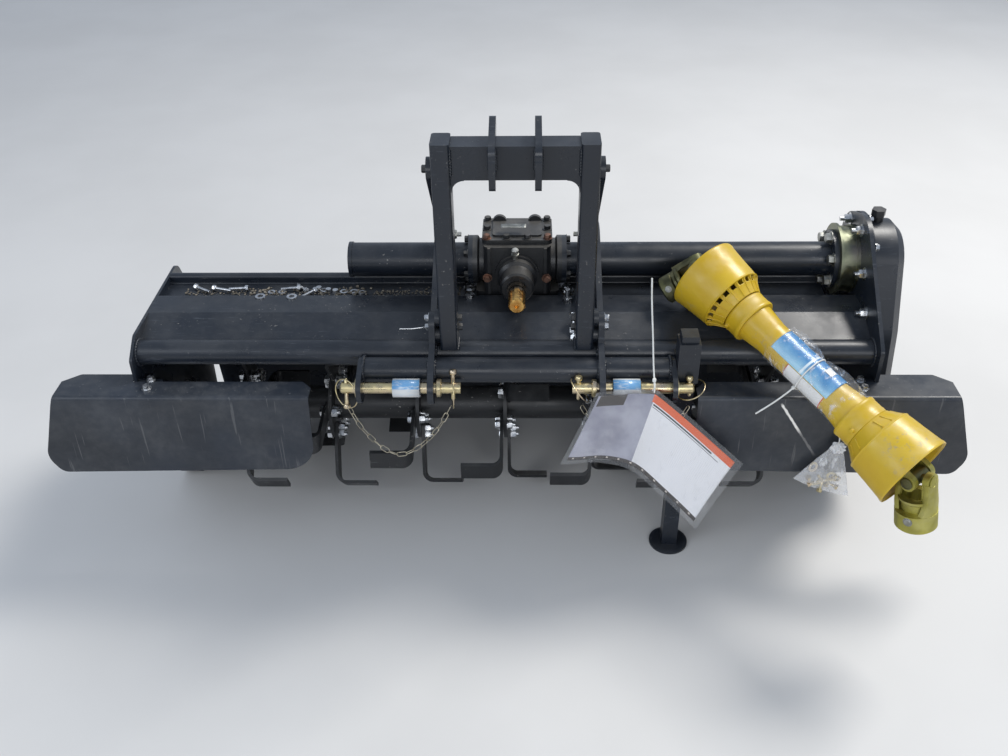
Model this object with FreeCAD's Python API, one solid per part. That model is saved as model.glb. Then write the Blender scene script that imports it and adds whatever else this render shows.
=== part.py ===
import FreeCAD, Part
import math
import os

os.makedirs("parts", exist_ok=True)
V = FreeCAD.Vector
Rot = FreeCAD.Rotation

# Datum: X across, Y to the rear, Z up, ground at zero; the lower hitch pins set the rest
PIN_Y = -146.0
PIN_Z = 445.0
HITCH_X = 28.0

# Body: side plates and the long front tube
SIDE_INNER = 745.0
LEFT_PLATE_T = 6.0
RIGHT_PLATE_T = 8.0
TUBE_OD = 50.8
TUBE_WALL = 5.0
FRONT_TUBE_Y = PIN_Y + 94.0
FRONT_TUBE_Z = PIN_Z + 23.0
HITCH_TUBE_Y = PIN_Y + 42.0
HITCH_TUBE_Z = PIN_Z + 15.0

# Hood: one folded sheet with a raised box in front of a valley and a rear lip
SHEET_T = 5.0
BEND_R = 6.0
HOOD_Z = PIN_Z + 45.0
BOX_RISE = 18.0
BOX_SLOPE = 72.0
BOX_FRONT_Y = PIN_Y + 184.0
BOX_REAR_Y = BOX_FRONT_Y + 75.0
LIP_Y = BOX_REAR_Y + 77.0
LIP_RISE = 21.0
LIP_DEPTH = 14.0
LIP_DROP = 40.0
PLATE_TOP_Z = HOOD_Z + 18.0

# Drive line of the machine: bevel gearbox, cross tubes and the side case
AXIS_Y = PIN_Y + 328.0
AXIS_Z = PIN_Z + 110.0
DRIVE_OD = 73.0
DRIVE_WALL = 6.0
STUB_REACH = 269.0
CAP_T = 8.0
GEARBOX_HALF = 95.0
GEARBOX_FRONT = 66.0
GEARBOX_REAR = 66.0
GEARBOX_TOP = 62.0
RIB_INSET = 33.0
SIDE_BOSS_R = 52.0
BASE_T = 6.0
FOOT_H = 12.0
COVER_T = 10.0
COVER_HALF_X = 74.0
COVER_HALF_Y = 52.0
LIFT_LUG_R = 15.0
LIFT_LUG_T = 9.0
LIFT_LUG_OFF = 38.0
BEARING_CAP_R = 45.0
BEARING_CAP_L = 22.0
BEARING_CAP_LIP = 8.0
SEAL_HUB_R = 35.0
SEAL_HUB_L = 43.0
SHAFT_R = 17.45
SPLINE_OUT = 69.0
SHAFT_SEAL_R = 20.0
SHAFT_CHAMFER = 3.0
SHAFT_CENTRE_R = 5.0
SHAFT_CENTRE_L = 6.0
SHAFT_CLEAR = 0.05
SHAFT_INSIDE = 50.0
SPLINES = 6
SPLINE_DEPTH = 2.4
SPLINE_GROOVE_W = 8.6
SPLINE_L = 62.0
SPLINE_RELIEF = 3.0
SPLINE_LAND = 5.0
DRUM_R = 73.0
DRUM_L = 40.0
DRUM_FLANGE_T = 6.0
DRUM_FLANGE_R = 76.0
DRUM_WAIST = 3.0
DRUM_CLEAR = 3.0
TUBE_FLANGE_R = 62.0
TUBE_FLANGE_T = 10.0
CASE_T = 80.0
CASE_TOP_R = 87.0
CASE_MID_R = 110.0
CASE_LOW_R = 112.0
CASE_EDGE = 18.0
CASE_RIM = 15.0
CASE_RIM_T = 10.0
PLATE_TOP_R = 75.5

# Rotor
ROTOR_Y = AXIS_Y - 68.0
ROTOR_Z = 220.0
ROTOR_R = 196.0
ROTOR_TUBE_R = 38.0
ROTOR_END_GAP = 9.0
BORE_CLEAR = 4.0
RUN_CLEAR = 0.05
FLANGE_R = 82.0
FLANGE_T = 8.0
FLANGE_COUNT = 7
FLANGE_PITCH = 196.0
TINES_PER_SIDE = 3
TINE_T = 7.0
TINE_W = 38.0
TINE_FOOT = 92.0
TINE_BEND = 20.0
TINE_SWEEP = 40.0
TINE_STEP = 12.0
JOURNAL_R = 20.0
JOURNAL_L = 34.0
HUB_R = 46.0
HUB_L = 40.0
HUB_CAP = 5.0
HUB_FLANGE_R = 62.0
HUB_FLANGE_T = 10.0

# Hitch
LOWER_PIN_R = 11.1
HITCH_PLATE_T = 12.0
HITCH_LOBE_R = 32.0
HITCH_REAR_R = 82.0
BOSS_R = 18.0
LUG_T = 10.0
LUG_R = 30.0
LUG_REAR_R = 26.0
BUSHING_R = 18.2
BUSHING_L = 56.0
POST_OFF = GEARBOX_HALF + 22.0
POST_W = 35.0
POST_D = 60.0
POST_Y = PIN_Y + 62.0
POST_FOOT_Z = FRONT_TUBE_Z + TUBE_OD / 2.0
POST_TOP_Z = PIN_Z + 478.0
POST_WALL = 4.0
BEAM_SET_BACK = 9.0
BEAM_DROP = 6.0
BEAM_H = 64.0
GUSSET = 24.0
GUSSET_T = 8.0
EAR_T = 12.0
EAR_GAP = 70.0
EAR_HOLE_R = 9.7
EAR_HOLE_Y = PIN_Y + 48.0
EAR_HOLE_Z = PIN_Z + 458.0
BRACE_T = 10.0
HITCH_PLATE_OFF = POST_OFF + POST_W + BRACE_T
BUSHING_OFF = HITCH_PLATE_OFF + 54.0
LUG_OFF = BUSHING_OFF + 88.0
PIN_INNER_OFF = HITCH_PLATE_OFF - 52.0
PIN_OUTER_OFF = LUG_OFF + 44.0
BRACE_R = 22.0
BRACE_TOP_Y = POST_Y + 34.0
BRACE_TOP_Z = PIN_Z + 420.0
BRACE_LOW_Y = AXIS_Y - 4.0
BRACE_LOW_Z = AXIS_Z + 62.0
EYE_T = 10.0
EYE_RING = 6.0
EYE_R = 24.0

# Parking stand
SLEEVE = 42.0
STAND_X = HITCH_X + LUG_OFF + LUG_T + SLEEVE / 2.0 + 1.0
STAND_Y = PIN_Y + 33.5
SLEEVE_WALL = 4.0
SLEEVE_TOP_Z = PIN_Z + 92.0
SLEEVE_H = 90.0
LEG_CLEAR = 0.5
LEG = SLEEVE - 2.0 * SLEEVE_WALL - 2.0 * LEG_CLEAR
LEG_WALL = 4.0
LEG_TOP_Z = SLEEVE_TOP_Z + 15.0
FOOT_R = 42.0
FOOT_T = 7.0

# Front guards
GUARD_T = 3.0
GUARD_BEND = 7.0
GUARD_GAP = 5.5
GUARD_IN = STAND_X + LEG / 2.0 + GUARD_GAP
GUARD_OUT = SIDE_INNER + 163.0
GUARD_FLARE = 37.0
GUARD_Y = PIN_Y - 8.0
GUARD_BACK_Y = PIN_Y + 48.0
GUARD_TAIL = 26.0
GUARD_TOP_Z = PIN_Z - 19.0
GUARD_H = 193.0
GUARD_CORNER = 46.0
GUARD_IN_CORNER = 64.0
TAB_T = 6.0
TAB_W = 50.0

# Skids and tailboard
SKID_W = 50.0
SKID_T = 8.0
SKID_FRONT_Y = ROTOR_Y + 4.0
SKID_FLAT = 211.0
SKID_REAR_Y = SKID_FRONT_Y + SKID_FLAT
SKID_BEND = 60.0
SKID_RUN = 105.0
SKID_INSET = 12.0
PLATE_FRONT_Z = PIN_Z - 110.0
BOARD_T = 4.0
BOARD_GAP = 8.0
BOARD_BEND = 55.0
HINGE_R = 8.0
HINGE_Y = LIP_Y + 33.0
HINGE_Z = HOOD_Z - 25.0
KNUCKLE_R = 13.0
KNUCKLE_W = 70.0
KNUCKLES = 4
KNUCKLE_GAP = 6.0
HINGE_LUG_T = 8.0
BOARD_END_Y = HINGE_Y + 176.0
BOARD_LOW_Z = 30.0
BOARD_FOLD_Z = 300.0
BOARD_RIM = 22.0

# Driveline lying across the hood: its guard, then the joint and fork at each end
DL_TOP = V(SIDE_INNER - 337.4, PIN_Y + 195.4, PIN_Z + 148.1)
DL_LOW = V(SIDE_INNER + 3.5, PIN_Y - 207.3, PIN_Z - 39.9)
DL_TUBE_R = 35.0
DL_INNER_TUBE_R = 34.0
DL_TUBE_STEP = 51.0
DL_FLARE_R = 41.0
DL_FLARE_L = 45.0
BELL_MOUTH_R = 78.0
BELL_SHOULDER_R = 69.0
BELL_L = 82.0
RIBBED_R = 64.0
RIBBED_L = 31.0
BELL_WALL = 4.0
DL_COLLAR_R = 48.0
DL_COLLAR_L = 37.0
COLLAR_GAP = 4.0
COLLAR_GROOVE = 3.0
RIB_T = 2.5
RIB_H = 4.0
FORK_REACH = 40.0
FORK_EAR_T = 12.0
FORK_EAR_IN = 20.0
FORK_EAR_R = 16.0
YOKE_NECK_R = 24.0
TRUNNION_R = 9.0
CROSS_CORE_R = 14.0
JOINT_OUT = 8.0

# Driveline ends: name, ribs on the bell, fork's length, waist, ring radius and length, and direction at rest
DL_ENDS = [
    ("top", 20, 85.0, 24.0, 29.0, 30.0, V(-0.800, 0.050, -0.598)),
    ("low", 10, 105.0, 27.0, 38.0, 40.0, V(0.150, -0.136, -0.979)),
]

# Papers and fittings tied on for delivery
TAG_T = 2.0
TAG_GAP = 0.3
TAG_Y = PIN_Y - HITCH_LOBE_R - TAG_GAP - TAG_T
BOOKLET_T = 2.5
BOOKLET_L = 144.0
BOOKLET_AT = 216.0
BAG_X = SIDE_INNER - 85.0
BAG_Z = PIN_Z - 192.0
BAG_W = 104.0
BAG_H = 128.0
BAG_T = 30.0


def box(x0, x1, y0, y1, z0, z1):
    return Part.makeBox(x1 - x0, y1 - y0, z1 - z0, V(x0, y0, z0))


def rod_x(x0, x1, y, z, r):
    return Part.makeCylinder(r, x1 - x0, V(x0, y, z), V(1, 0, 0))


def tube_x(x0, x1, y, z, od, wall):
    return rod_x(x0, x1, y, z, od / 2.0).cut(rod_x(x0 - 1.0, x1 + 1.0, y, z, od / 2.0 - wall))


def unit(a, b):
    """Direction in a plane from point a to point b."""
    d = math.hypot(b[0] - a[0], b[1] - a[1])
    return (b[0] - a[0]) / d, (b[1] - a[1]) / d


def along(a, way, d):
    return a[0] + way[0] * d, a[1] + way[1] * d


def corner(a, p, b, r):
    """Arc of radius r in the corner p between a and b: its start, end, centre, and 1 for a left turn or -1."""
    u = unit(a, p)
    v = unit(p, b)
    turn = math.atan2(u[0] * v[1] - u[1] * v[0], u[0] * v[0] + u[1] * v[1])
    back = r * math.tan(abs(turn) / 2.0)
    side = math.copysign(1.0, turn)
    start = along(p, u, -back)
    return start, along(p, v, back), along(start, (-u[1], u[0]), side * r), side


def rounded(points):
    """Closed outline of corners (u, v, r), each rounded to its own radius, as runs of one or three points."""
    runs = []
    for k, (u, v, r) in enumerate(points):
        here = (u, v)
        if r <= 0.0:
            runs.append((here,))
            continue
        start, end, centre, side = corner(points[k - 1], here, points[(k + 1) % len(points)], r)
        runs.append((start, along(centre, unit(centre, here), r), end))
    return runs


def strip(points, bend, t):
    """Outline of a sheet t thick along a line of (u, v) points, every fold with one mean bend radius."""
    sides = []
    for off in (t / 2.0, -t / 2.0):
        first = unit(points[0], points[1])
        last = unit(points[-2], points[-1])
        runs = [(along(points[0], (-first[1], first[0]), off),)]
        for a, p, b in zip(points, points[1:], points[2:]):
            start, end, centre, side = corner(a, p, b, bend)
            r = bend - side * off
            runs.append(tuple(along(centre, unit(centre, q), r) for q in (start, p, end)))
        runs.append((along(points[-1], (-last[1], last[0]), off),))
        sides.append(runs)
    return sides[0] + [tuple(reversed(run)) for run in reversed(sides[1])]


def face_of(runs, place):
    """Flat face inside an outline of runs; place turns (u, v) into a point in space."""
    edges = []
    for k, run in enumerate(runs):
        spots = [place(*p) for p in run]
        if len(spots) == 3:
            edges.append(Part.Arc(*spots).toShape())
        after = place(*runs[(k + 1) % len(runs)][0])
        if spots[-1].distanceToPoint(after) > 1e-6:
            edges.append(Part.LineSegment(spots[-1], after).toShape())
    return Part.Face(Part.Wire(edges))


def facing_out(solid):
    return solid if solid.Volume > 0.0 else solid.reversed()


def side_plate(points, x0, x1):
    """Plate from x0 to x1, its outline given in side view as (y, z, corner radius)."""
    face = face_of(rounded(points), lambda y, z: V(x0, y, z))
    return facing_out(face.extrude(V(x1 - x0, 0, 0)))


def front_plate(points, y0, y1):
    """Plate from y0 to y1, its outline given in front view as (x, z, corner radius)."""
    face = face_of(rounded(points), lambda x, z: V(x, y0, z))
    return facing_out(face.extrude(V(0, y1 - y0, 0)))


def top_plate(points, z0, z1):
    """Plate from z0 to z1, its outline given from above as (x, y, corner radius)."""
    face = face_of(rounded(points), lambda x, y: V(x, y, z0))
    return facing_out(face.extrude(V(0, 0, z1 - z0)))


def sheet_x(points, bend, t, x0, x1):
    """Sheet t thick from x0 to x1, folded along a line of (y, z) points."""
    face = face_of(strip(points, bend, t), lambda y, z: V(x0, y, z))
    return facing_out(face.extrude(V(x1 - x0, 0, 0)))


def turned(points, at, way):
    """Solid of revolution of (radius, height, corner radius) points about a line from at, along way."""
    face = face_of(rounded(points), lambda r, h: V(r, 0, h))
    solid = facing_out(face.revolve(V(0, 0, 0), V(0, 0, 1), 360.0))
    solid.Placement = FreeCAD.Placement(at, Rot(V(0, 0, 1), way))
    return solid


def strap(a, b, ra, rb, x0, x1):
    """Plate in side view around two circles, joined by their outer tangents."""
    (ya, za), (yb, zb) = a, b
    span = math.hypot(yb - ya, zb - za)
    turn = math.atan2(zb - za, yb - ya)
    lean = math.acos((ra - rb) / span)
    left = (math.cos(turn + lean), math.sin(turn + lean))
    right = (math.cos(turn - lean), math.sin(turn - lean))
    web = [along(a, left, ra), along(b, left, rb), along(b, right, rb), along(a, right, ra)]
    solid = side_plate([(y, z, 0.0) for y, z in web], x0, x1)
    return solid.fuse([rod_x(x0, x1, ya, za, ra), rod_x(x0, x1, yb, zb, rb)]).removeSplitter()


def mirror_x(shape):
    return shape.mirror(V(0, 0, 0), V(1, 0, 0))


def between(a, b):
    return (min(a, b), max(a, b))


def pair(make):
    """Left and right copies of a piece as two solids of one node."""
    return Part.makeCompound([make(-1), make(1)])


def save(name, shape):
    shape.exportStep("parts/" + name + ".step")


def front_tube_solid():
    return rod_x(-SIDE_INNER, SIDE_INNER, FRONT_TUBE_Y, FRONT_TUBE_Z, TUBE_OD / 2.0)


def front_tube():
    return tube_x(-SIDE_INNER, SIDE_INNER, FRONT_TUBE_Y, FRONT_TUBE_Z, TUBE_OD, TUBE_WALL)


def hitch_tube():
    return tube_x(HITCH_X - LUG_OFF, HITCH_X + LUG_OFF, HITCH_TUBE_Y, HITCH_TUBE_Z, TUBE_OD, TUBE_WALL)


def low_edge():
    """Rear, lower and front edges of a side plate in side view, down to the skid's flat."""
    return [
        (SKID_REAR_Y + 22.0, PIN_Z - 120.0, 60.0),
        (SKID_REAR_Y + 12.0, SKID_T + 40.0, 20.0),
        (SKID_REAR_Y, SKID_T, 10.0),
        (SKID_FRONT_Y, SKID_T, SKID_BEND),
        (GUARD_BACK_Y, PLATE_FRONT_Z, 40.0),
    ]


def guard_tab(side):
    z1 = GUARD_TOP_Z - GUARD_T
    tab = box(SIDE_INNER - TAB_W, SIDE_INNER + 1.0, GUARD_BACK_Y - 36.0, GUARD_BACK_Y + 12.0, z1 - TAB_T, z1)
    return tab if side > 0 else mirror_x(tab)


def left_plate():
    x0 = -SIDE_INNER - LEFT_PLATE_T
    front = [(GUARD_BACK_Y, HOOD_Z - 15.0, 12.0), (FRONT_TUBE_Y, PLATE_TOP_Z, 16.0)]
    top = front + [(HINGE_Y + 28.0, PLATE_TOP_Z, 30.0)]
    plate = side_plate(top + low_edge(), x0, -SIDE_INNER).fuse(guard_tab(-1)).removeSplitter()
    return plate.cut(rod_x(x0 - 1.0, -SIDE_INNER + 1.0, ROTOR_Y, ROTOR_Z, JOURNAL_R + BORE_CLEAR))


def right_plate():
    """Side plate on the drive side, rising in a wide round head that covers the drum."""
    x1 = SIDE_INNER + RIGHT_PLATE_T
    r = PLATE_TOP_R
    front = (AXIS_Y - 38.0, AXIS_Z + 40.0)
    rear = (AXIS_Y + 17.0, AXIS_Z + 20.0)
    slope = along(front, (-0.62, 0.78), r)
    top = [
        (GUARD_BACK_Y, HOOD_Z + 5.0, 15.0), slope + (0.0,), front + (0.0,), rear + (0.0,),
        (rear[0] + r, rear[1], 0.0),
    ]
    plate = side_plate(top + low_edge(), SIDE_INNER, x1)
    plate = plate.fuse([strap(front, rear, r, r, SIDE_INNER, x1), guard_tab(1)]).removeSplitter()
    return plate.cut(rod_x(SIDE_INNER - 1.0, x1 + 1.0, ROTOR_Y, ROTOR_Z, JOURNAL_R + BORE_CLEAR))


def hood_line():
    """Mid-line of the folded hood sheet, from the front tube over the valley to the rear lip."""
    z = HOOD_Z - SHEET_T / 2.0
    top = z + LIP_RISE
    inset = SHEET_T / 2.0
    return [
        (FRONT_TUBE_Y + TUBE_OD / 2.0 - 5.0, FRONT_TUBE_Z + 6.0),
        (BOX_FRONT_Y - 4.0, z),
        (LIP_Y + inset, z),
        (LIP_Y + inset, top),
        (LIP_Y + LIP_DEPTH + inset, top),
        (LIP_Y + LIP_DEPTH + inset, z - LIP_DROP),
    ]


def hood_sheet(x0, x1):
    return sheet_x(hood_line(), BEND_R, SHEET_T, x0, x1)


def hood():
    sheet = hood_sheet(-SIDE_INNER, SIDE_INNER).cut(front_tube_solid())
    spool = DRUM_L + TUBE_FLANGE_T + DRUM_CLEAR
    round_drum = rod_x(SIDE_INNER - spool, SIDE_INNER, AXIS_Y, AXIS_Z, DRUM_FLANGE_R + DRUM_CLEAR)
    half = GEARBOX_HALF + TUBE_FLANGE_T + DRUM_CLEAR
    notch = box(
        HITCH_X - half, HITCH_X + half, LIP_Y - 30.0, LIP_Y + LIP_DEPTH + SHEET_T + 1.0, HOOD_Z,
        HOOD_Z + LIP_RISE + 40.0,
    )
    sheet = sheet.cut(round_drum).cut(notch)
    return sheet.fuse([hinge_lug(x) for x in lug_places()]).removeSplitter()


def knuckle_places():
    """Middles of the tailboard's hinge knuckles, evenly spread along the rod."""
    pitch = 2.0 * (SIDE_INNER - BOARD_GAP) / KNUCKLES
    return [-SIDE_INNER + BOARD_GAP + pitch * (k + 0.5) for k in range(KNUCKLES)]


def lug_places():
    step = KNUCKLE_W / 2.0 + KNUCKLE_GAP + HINGE_LUG_T / 2.0
    return [x + step for x in knuckle_places()]


def hinge_lug(x):
    """Ear on the hood's rear flange that carries the hinge rod."""
    y0 = LIP_Y + LIP_DEPTH + SHEET_T - 1.0
    x0 = x - HINGE_LUG_T / 2.0
    x1 = x + HINGE_LUG_T / 2.0
    z0 = HINGE_Z - KNUCKLE_R
    z1 = HINGE_Z + KNUCKLE_R
    low = (HOOD_Z - SHEET_T / 2.0 - LIP_DROP + 4.0)
    ear = box(x0, x1, y0, HINGE_Y, max(z0, low), z1).fuse(rod_x(x0, x1, HINGE_Y, HINGE_Z, KNUCKLE_R))
    return ear.removeSplitter().cut(rod_x(x0 - 1.0, x1 + 1.0, HINGE_Y, HINGE_Z, HINGE_R))


def box_sheet(x0, x1):
    drop = SHEET_T / 2.0
    z = HOOD_Z + BOX_RISE - drop
    line = [
        (BOX_FRONT_Y - BOX_SLOPE, HOOD_Z - 8.0 - drop), (BOX_FRONT_Y, z), (BOX_REAR_Y - drop, z),
        (BOX_REAR_Y - drop, HOOD_Z),
    ]
    return sheet_x(line, BEND_R, SHEET_T, x0, x1)


def hood_box():
    """Raised stiffening channel along the front of the hood, behind the long tube."""
    sheet = box_sheet(-SIDE_INNER, SIDE_INNER)
    return sheet.cut(hood_sheet(-SIDE_INNER, SIDE_INNER)).cut(front_tube_solid())


def below_hood():
    """Side view of all that lies under the hood's top, behind the middle of the long tube."""
    y0 = FRONT_TUBE_Y + 4.0
    return [
        (y0, PIN_Z - 200.0, 0.0),
        (y0, FRONT_TUBE_Z, 0.0),
        (BOX_FRONT_Y - BOX_SLOPE, HOOD_Z - 8.0, 0.0),
        (BOX_FRONT_Y, HOOD_Z + BOX_RISE, 0.0),
        (BOX_REAR_Y, HOOD_Z + BOX_RISE, 0.0),
        (BOX_REAR_Y, HOOD_Z, 0.0),
        (LIP_Y, HOOD_Z, 0.0),
        (LIP_Y, HOOD_Z + LIP_RISE, 0.0),
        (LIP_Y + 200.0, HOOD_Z + LIP_RISE, 0.0),
        (LIP_Y + 200.0, PIN_Z - 200.0, 0.0),
    ]


def hitch_bores():
    return [
        (PIN_Y, PIN_Z, LOWER_PIN_R + 0.3),
        (HITCH_TUBE_Y, HITCH_TUBE_Z, TUBE_OD / 2.0),
        (FRONT_TUBE_Y, FRONT_TUBE_Z, TUBE_OD / 2.0),
        (AXIS_Y, AXIS_Z, DRIVE_OD / 2.0),
    ]


def hitch_plate(side):
    """Side frame of the hitch: round the lower pin, over both front tubes and back to the cross tube."""
    x0, x1 = between(side * HITCH_PLATE_OFF, side * (HITCH_PLATE_OFF + HITCH_PLATE_T))
    over_tube = (FRONT_TUBE_Y + 6.0, FRONT_TUBE_Z + 12.0)
    foot = (POST_Y + POST_D / 2.0, POST_FOOT_Z + 44.0)
    plate = strap((PIN_Y, PIN_Z), over_tube, HITCH_LOBE_R, 42.0, x0, x1)
    plate = plate.fuse(strap(over_tube, foot, 42.0, 24.0, x0, x1))
    plate = plate.fuse(strap(over_tube, (AXIS_Y, AXIS_Z), 42.0, HITCH_REAR_R, x0, x1)).removeSplitter()
    plate = plate.cut(side_plate(below_hood(), x0 - 1.0, x1 + 1.0))
    plate = plate.cut(hood_sheet(x0 - 1.0, x1 + 1.0)).cut(box_sheet(x0 - 1.0, x1 + 1.0))
    for y, z, r in hitch_bores():
        plate = plate.cut(rod_x(x0 - 1.0, x1 + 1.0, y, z, r))
    b0, b1 = between(side * HITCH_PLATE_OFF, side * (POST_OFF + POST_W))
    bosses = [rod_x(b0, b1, POST_Y + POST_D / 2.0, POST_FOOT_Z + dz, BOSS_R) for dz in (20.0, 58.0)]
    plate = plate.fuse(bosses).removeSplitter()
    plate.translate(V(HITCH_X, 0, 0))
    return plate


def hitch_lug(side):
    x0, x1 = between(HITCH_X + side * LUG_OFF, HITCH_X + side * (LUG_OFF + LUG_T))
    plate = strap((PIN_Y, PIN_Z), (HITCH_TUBE_Y, HITCH_TUBE_Z), LUG_R, LUG_REAR_R, x0, x1)
    return plate.cut(rod_x(x0 - 1.0, x1 + 1.0, PIN_Y, PIN_Z, LOWER_PIN_R + 0.3))


def lower_pin(side):
    """Hitch pin with a chamfered outer end."""
    a = HITCH_X + side * PIN_INNER_OFF
    length = PIN_OUTER_OFF - PIN_INNER_OFF
    r = LOWER_PIN_R
    return turned(
        [(0, 0, 0), (r, 0, 0), (r, length - 3.0, 0), (r - 3.0, length, 0), (0, length, 0)],
        V(a, PIN_Y, PIN_Z), V(side, 0, 0),
    )


def bushing(side):
    x = HITCH_X + side * BUSHING_OFF - BUSHING_L / 2.0
    r = BUSHING_R
    ring = [
        (LOWER_PIN_R, 0, 0), (r - 2.0, 0, 0), (r, 2.0, 0), (r, BUSHING_L - 2.0, 0),
        (r - 2.0, BUSHING_L, 0), (LOWER_PIN_R, BUSHING_L, 0),
    ]
    return turned(ring, V(x, PIN_Y, PIN_Z), V(1, 0, 0))


def post(side):
    """Square tube of the mast, closed at the top and saddled over the long tube at its foot."""
    x0, x1 = between(HITCH_X + side * POST_OFF, HITCH_X + side * (POST_OFF + POST_W))
    w = POST_WALL
    r = 6.0
    low = FRONT_TUBE_Z
    corners = [(x0, POST_Y, r), (x1, POST_Y, r), (x1, POST_Y + POST_D, r), (x0, POST_Y + POST_D, r)]
    outer = top_plate(corners, low, POST_TOP_Z)
    inner = box(x0 + w, x1 - w, POST_Y + w, POST_Y + POST_D - w, low - 1.0, POST_TOP_Z - w)
    over = [rod_x(x0 - 1.0, x1 + 1.0, y, z, TUBE_OD / 2.0) for y, z in (
        (FRONT_TUBE_Y, FRONT_TUBE_Z), (HITCH_TUBE_Y, HITCH_TUBE_Z),
    )]
    cut = outer.cut(inner).cut(over[0]).cut(over[1])
    above = box(x0 - 1.0, x1 + 1.0, POST_Y - 1.0, POST_Y + POST_D + 1.0, POST_FOOT_Z, POST_TOP_Z + 1.0)
    return cut.common(above)


def beam():
    """Cross member of the mast, with a curved gusset in each lower corner."""
    z1 = POST_TOP_Z - BEAM_DROP
    z0 = z1 - BEAM_H
    w = POST_WALL
    y0 = POST_Y + BEAM_SET_BACK
    y1 = POST_Y + POST_D - 1.0
    a = HITCH_X - POST_OFF
    b = HITCH_X + POST_OFF
    tube = box(a, b, y0, y1, z0, z1).cut(box(a - 1.0, b + 1.0, y0 + w, y1 - w, z0 + w, z1 - w))
    return tube.fuse([gusset(a, 1.0, y0, z0), gusset(b, -1.0, y0, z0)]).removeSplitter()


def gusset(x, way, y0, z0):
    g = GUSSET
    block = box(*between(x, x + way * g), y0, y0 + GUSSET_T, z0 - g, z0)
    return block.cut(Part.makeCylinder(g - 1.0, GUSSET_T + 2.0, V(x + way * g, y0 - 1.0, z0 - g), V(0, 1, 0)))


def ear(side):
    """Top link ear: a plate hooked over the mast's cross member, with its hole in front."""
    middle = HITCH_X + side * (EAR_GAP + EAR_T) / 2.0
    x0 = middle - EAR_T / 2.0
    x1 = middle + EAR_T / 2.0
    low = (EAR_HOLE_Y + 2.0, POST_TOP_Z - BEAM_DROP - BEAM_H + 4.0)
    plate = strap((EAR_HOLE_Y, EAR_HOLE_Z), low, 21.0, 14.0, x0, x1)
    rear = strap((EAR_HOLE_Y, EAR_HOLE_Z + 10.0), (POST_Y + POST_D, POST_TOP_Z + 12.0), 21.0, 18.0, x0, x1)
    plate = plate.fuse(rear).removeSplitter()
    z1 = POST_TOP_Z - BEAM_DROP
    plate = plate.cut(box(x0 - 1.0, x1 + 1.0, POST_Y + BEAM_SET_BACK, POST_Y + POST_D - 1.0, z1 - BEAM_H, z1))
    return plate.cut(rod_x(x0 - 1.0, x1 + 1.0, EAR_HOLE_Y, EAR_HOLE_Z, EAR_HOLE_R))


def brace(side):
    x0, x1 = between(side * (POST_OFF + POST_W), side * (POST_OFF + POST_W + BRACE_T))
    bar = strap((BRACE_TOP_Y, BRACE_TOP_Z), (BRACE_LOW_Y, BRACE_LOW_Z), BRACE_R, BRACE_R, x0, x1)
    bar.translate(V(HITCH_X, 0, 0))
    return bar


def brace_bracket(side):
    """Inner plate round the cross tube that holds the brace's lower end."""
    x0, x1 = between(side * (POST_OFF + POST_W - EYE_T), side * (POST_OFF + POST_W))
    plate = strap((AXIS_Y, AXIS_Z), (BRACE_LOW_Y, BRACE_LOW_Z), DRIVE_OD / 2.0 + EYE_RING, EYE_R, x0, x1)
    plate = plate.cut(rod_x(x0 - 1.0, x1 + 1.0, AXIS_Y, AXIS_Z, DRIVE_OD / 2.0))
    plate.translate(V(HITCH_X, 0, 0))
    return plate


def gearbox():
    """Casting: a body on a bolted foot, a stepped boss on each side and one in front."""
    x0 = HITCH_X - GEARBOX_HALF
    x1 = HITCH_X + GEARBOX_HALF
    y0 = AXIS_Y - GEARBOX_FRONT
    y1 = AXIS_Y + GEARBOX_REAR
    z0 = HOOD_Z + BASE_T
    top = AXIS_Z + GEARBOX_TOP
    plan = [(x0 + 24.0, y0, 14.0), (x1 - 24.0, y0, 14.0), (x1 - 24.0, y1, 14.0), (x0 + 24.0, y1, 14.0)]
    body = top_plate(plan, z0, top)
    foot = [
        (x0 + 6.0, y0 + 8.0, 10.0), (x1 - 6.0, y0 + 8.0, 10.0), (x1 - 6.0, LIP_Y - 2.0, 10.0),
        (x0 + 6.0, LIP_Y - 2.0, 10.0),
    ]
    r = SIDE_BOSS_R
    boss = [(0, 0, 0), (r, 0, 0), (r, 10.0, 0), (r - 6.0, 14.0, 0), (r - 6.0, 40.0, 0), (0, 40.0, 0)]
    bosses = [
        turned(boss, V(x0, AXIS_Y, AXIS_Z), V(1, 0, 0)),
        turned(boss, V(x1, AXIS_Y, AXIS_Z), V(-1, 0, 0)),
    ]
    q = BEARING_CAP_R + 1.0
    bosses.append(turned(
        [(0, 0, 0), (q, 0, 0), (q, 12.0, 0), (0, 12.0, 0)], V(HITCH_X, y0 - 8.0, AXIS_Z),
        V(0, 1, 0),
    ))
    body = body.fuse(bosses + [top_plate(foot, z0, z0 + FOOT_H)] + gearbox_ribs()).removeSplitter()
    return body.cut(shaft_bore(y0 - 9.0, 60.0))


def gearbox_ribs():
    """Upright ribs beside the front boss of the casting."""
    y0 = AXIS_Y - GEARBOX_FRONT - 6.0
    z0 = HOOD_Z + BOX_RISE + 2.0
    ribs = []
    far = GEARBOX_HALF - RIB_INSET
    for off in (-far, far - 6.0):
        ribs.append(box(HITCH_X + off, HITCH_X + off + 6.0, y0, y0 + 20.0, z0, AXIS_Z + GEARBOX_TOP))
    return ribs


def shaft_bore(y0, run):
    return Part.makeCylinder(SHAFT_SEAL_R + SHAFT_CLEAR, run, V(HITCH_X, y0, AXIS_Z), V(0, 1, 0))


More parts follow.
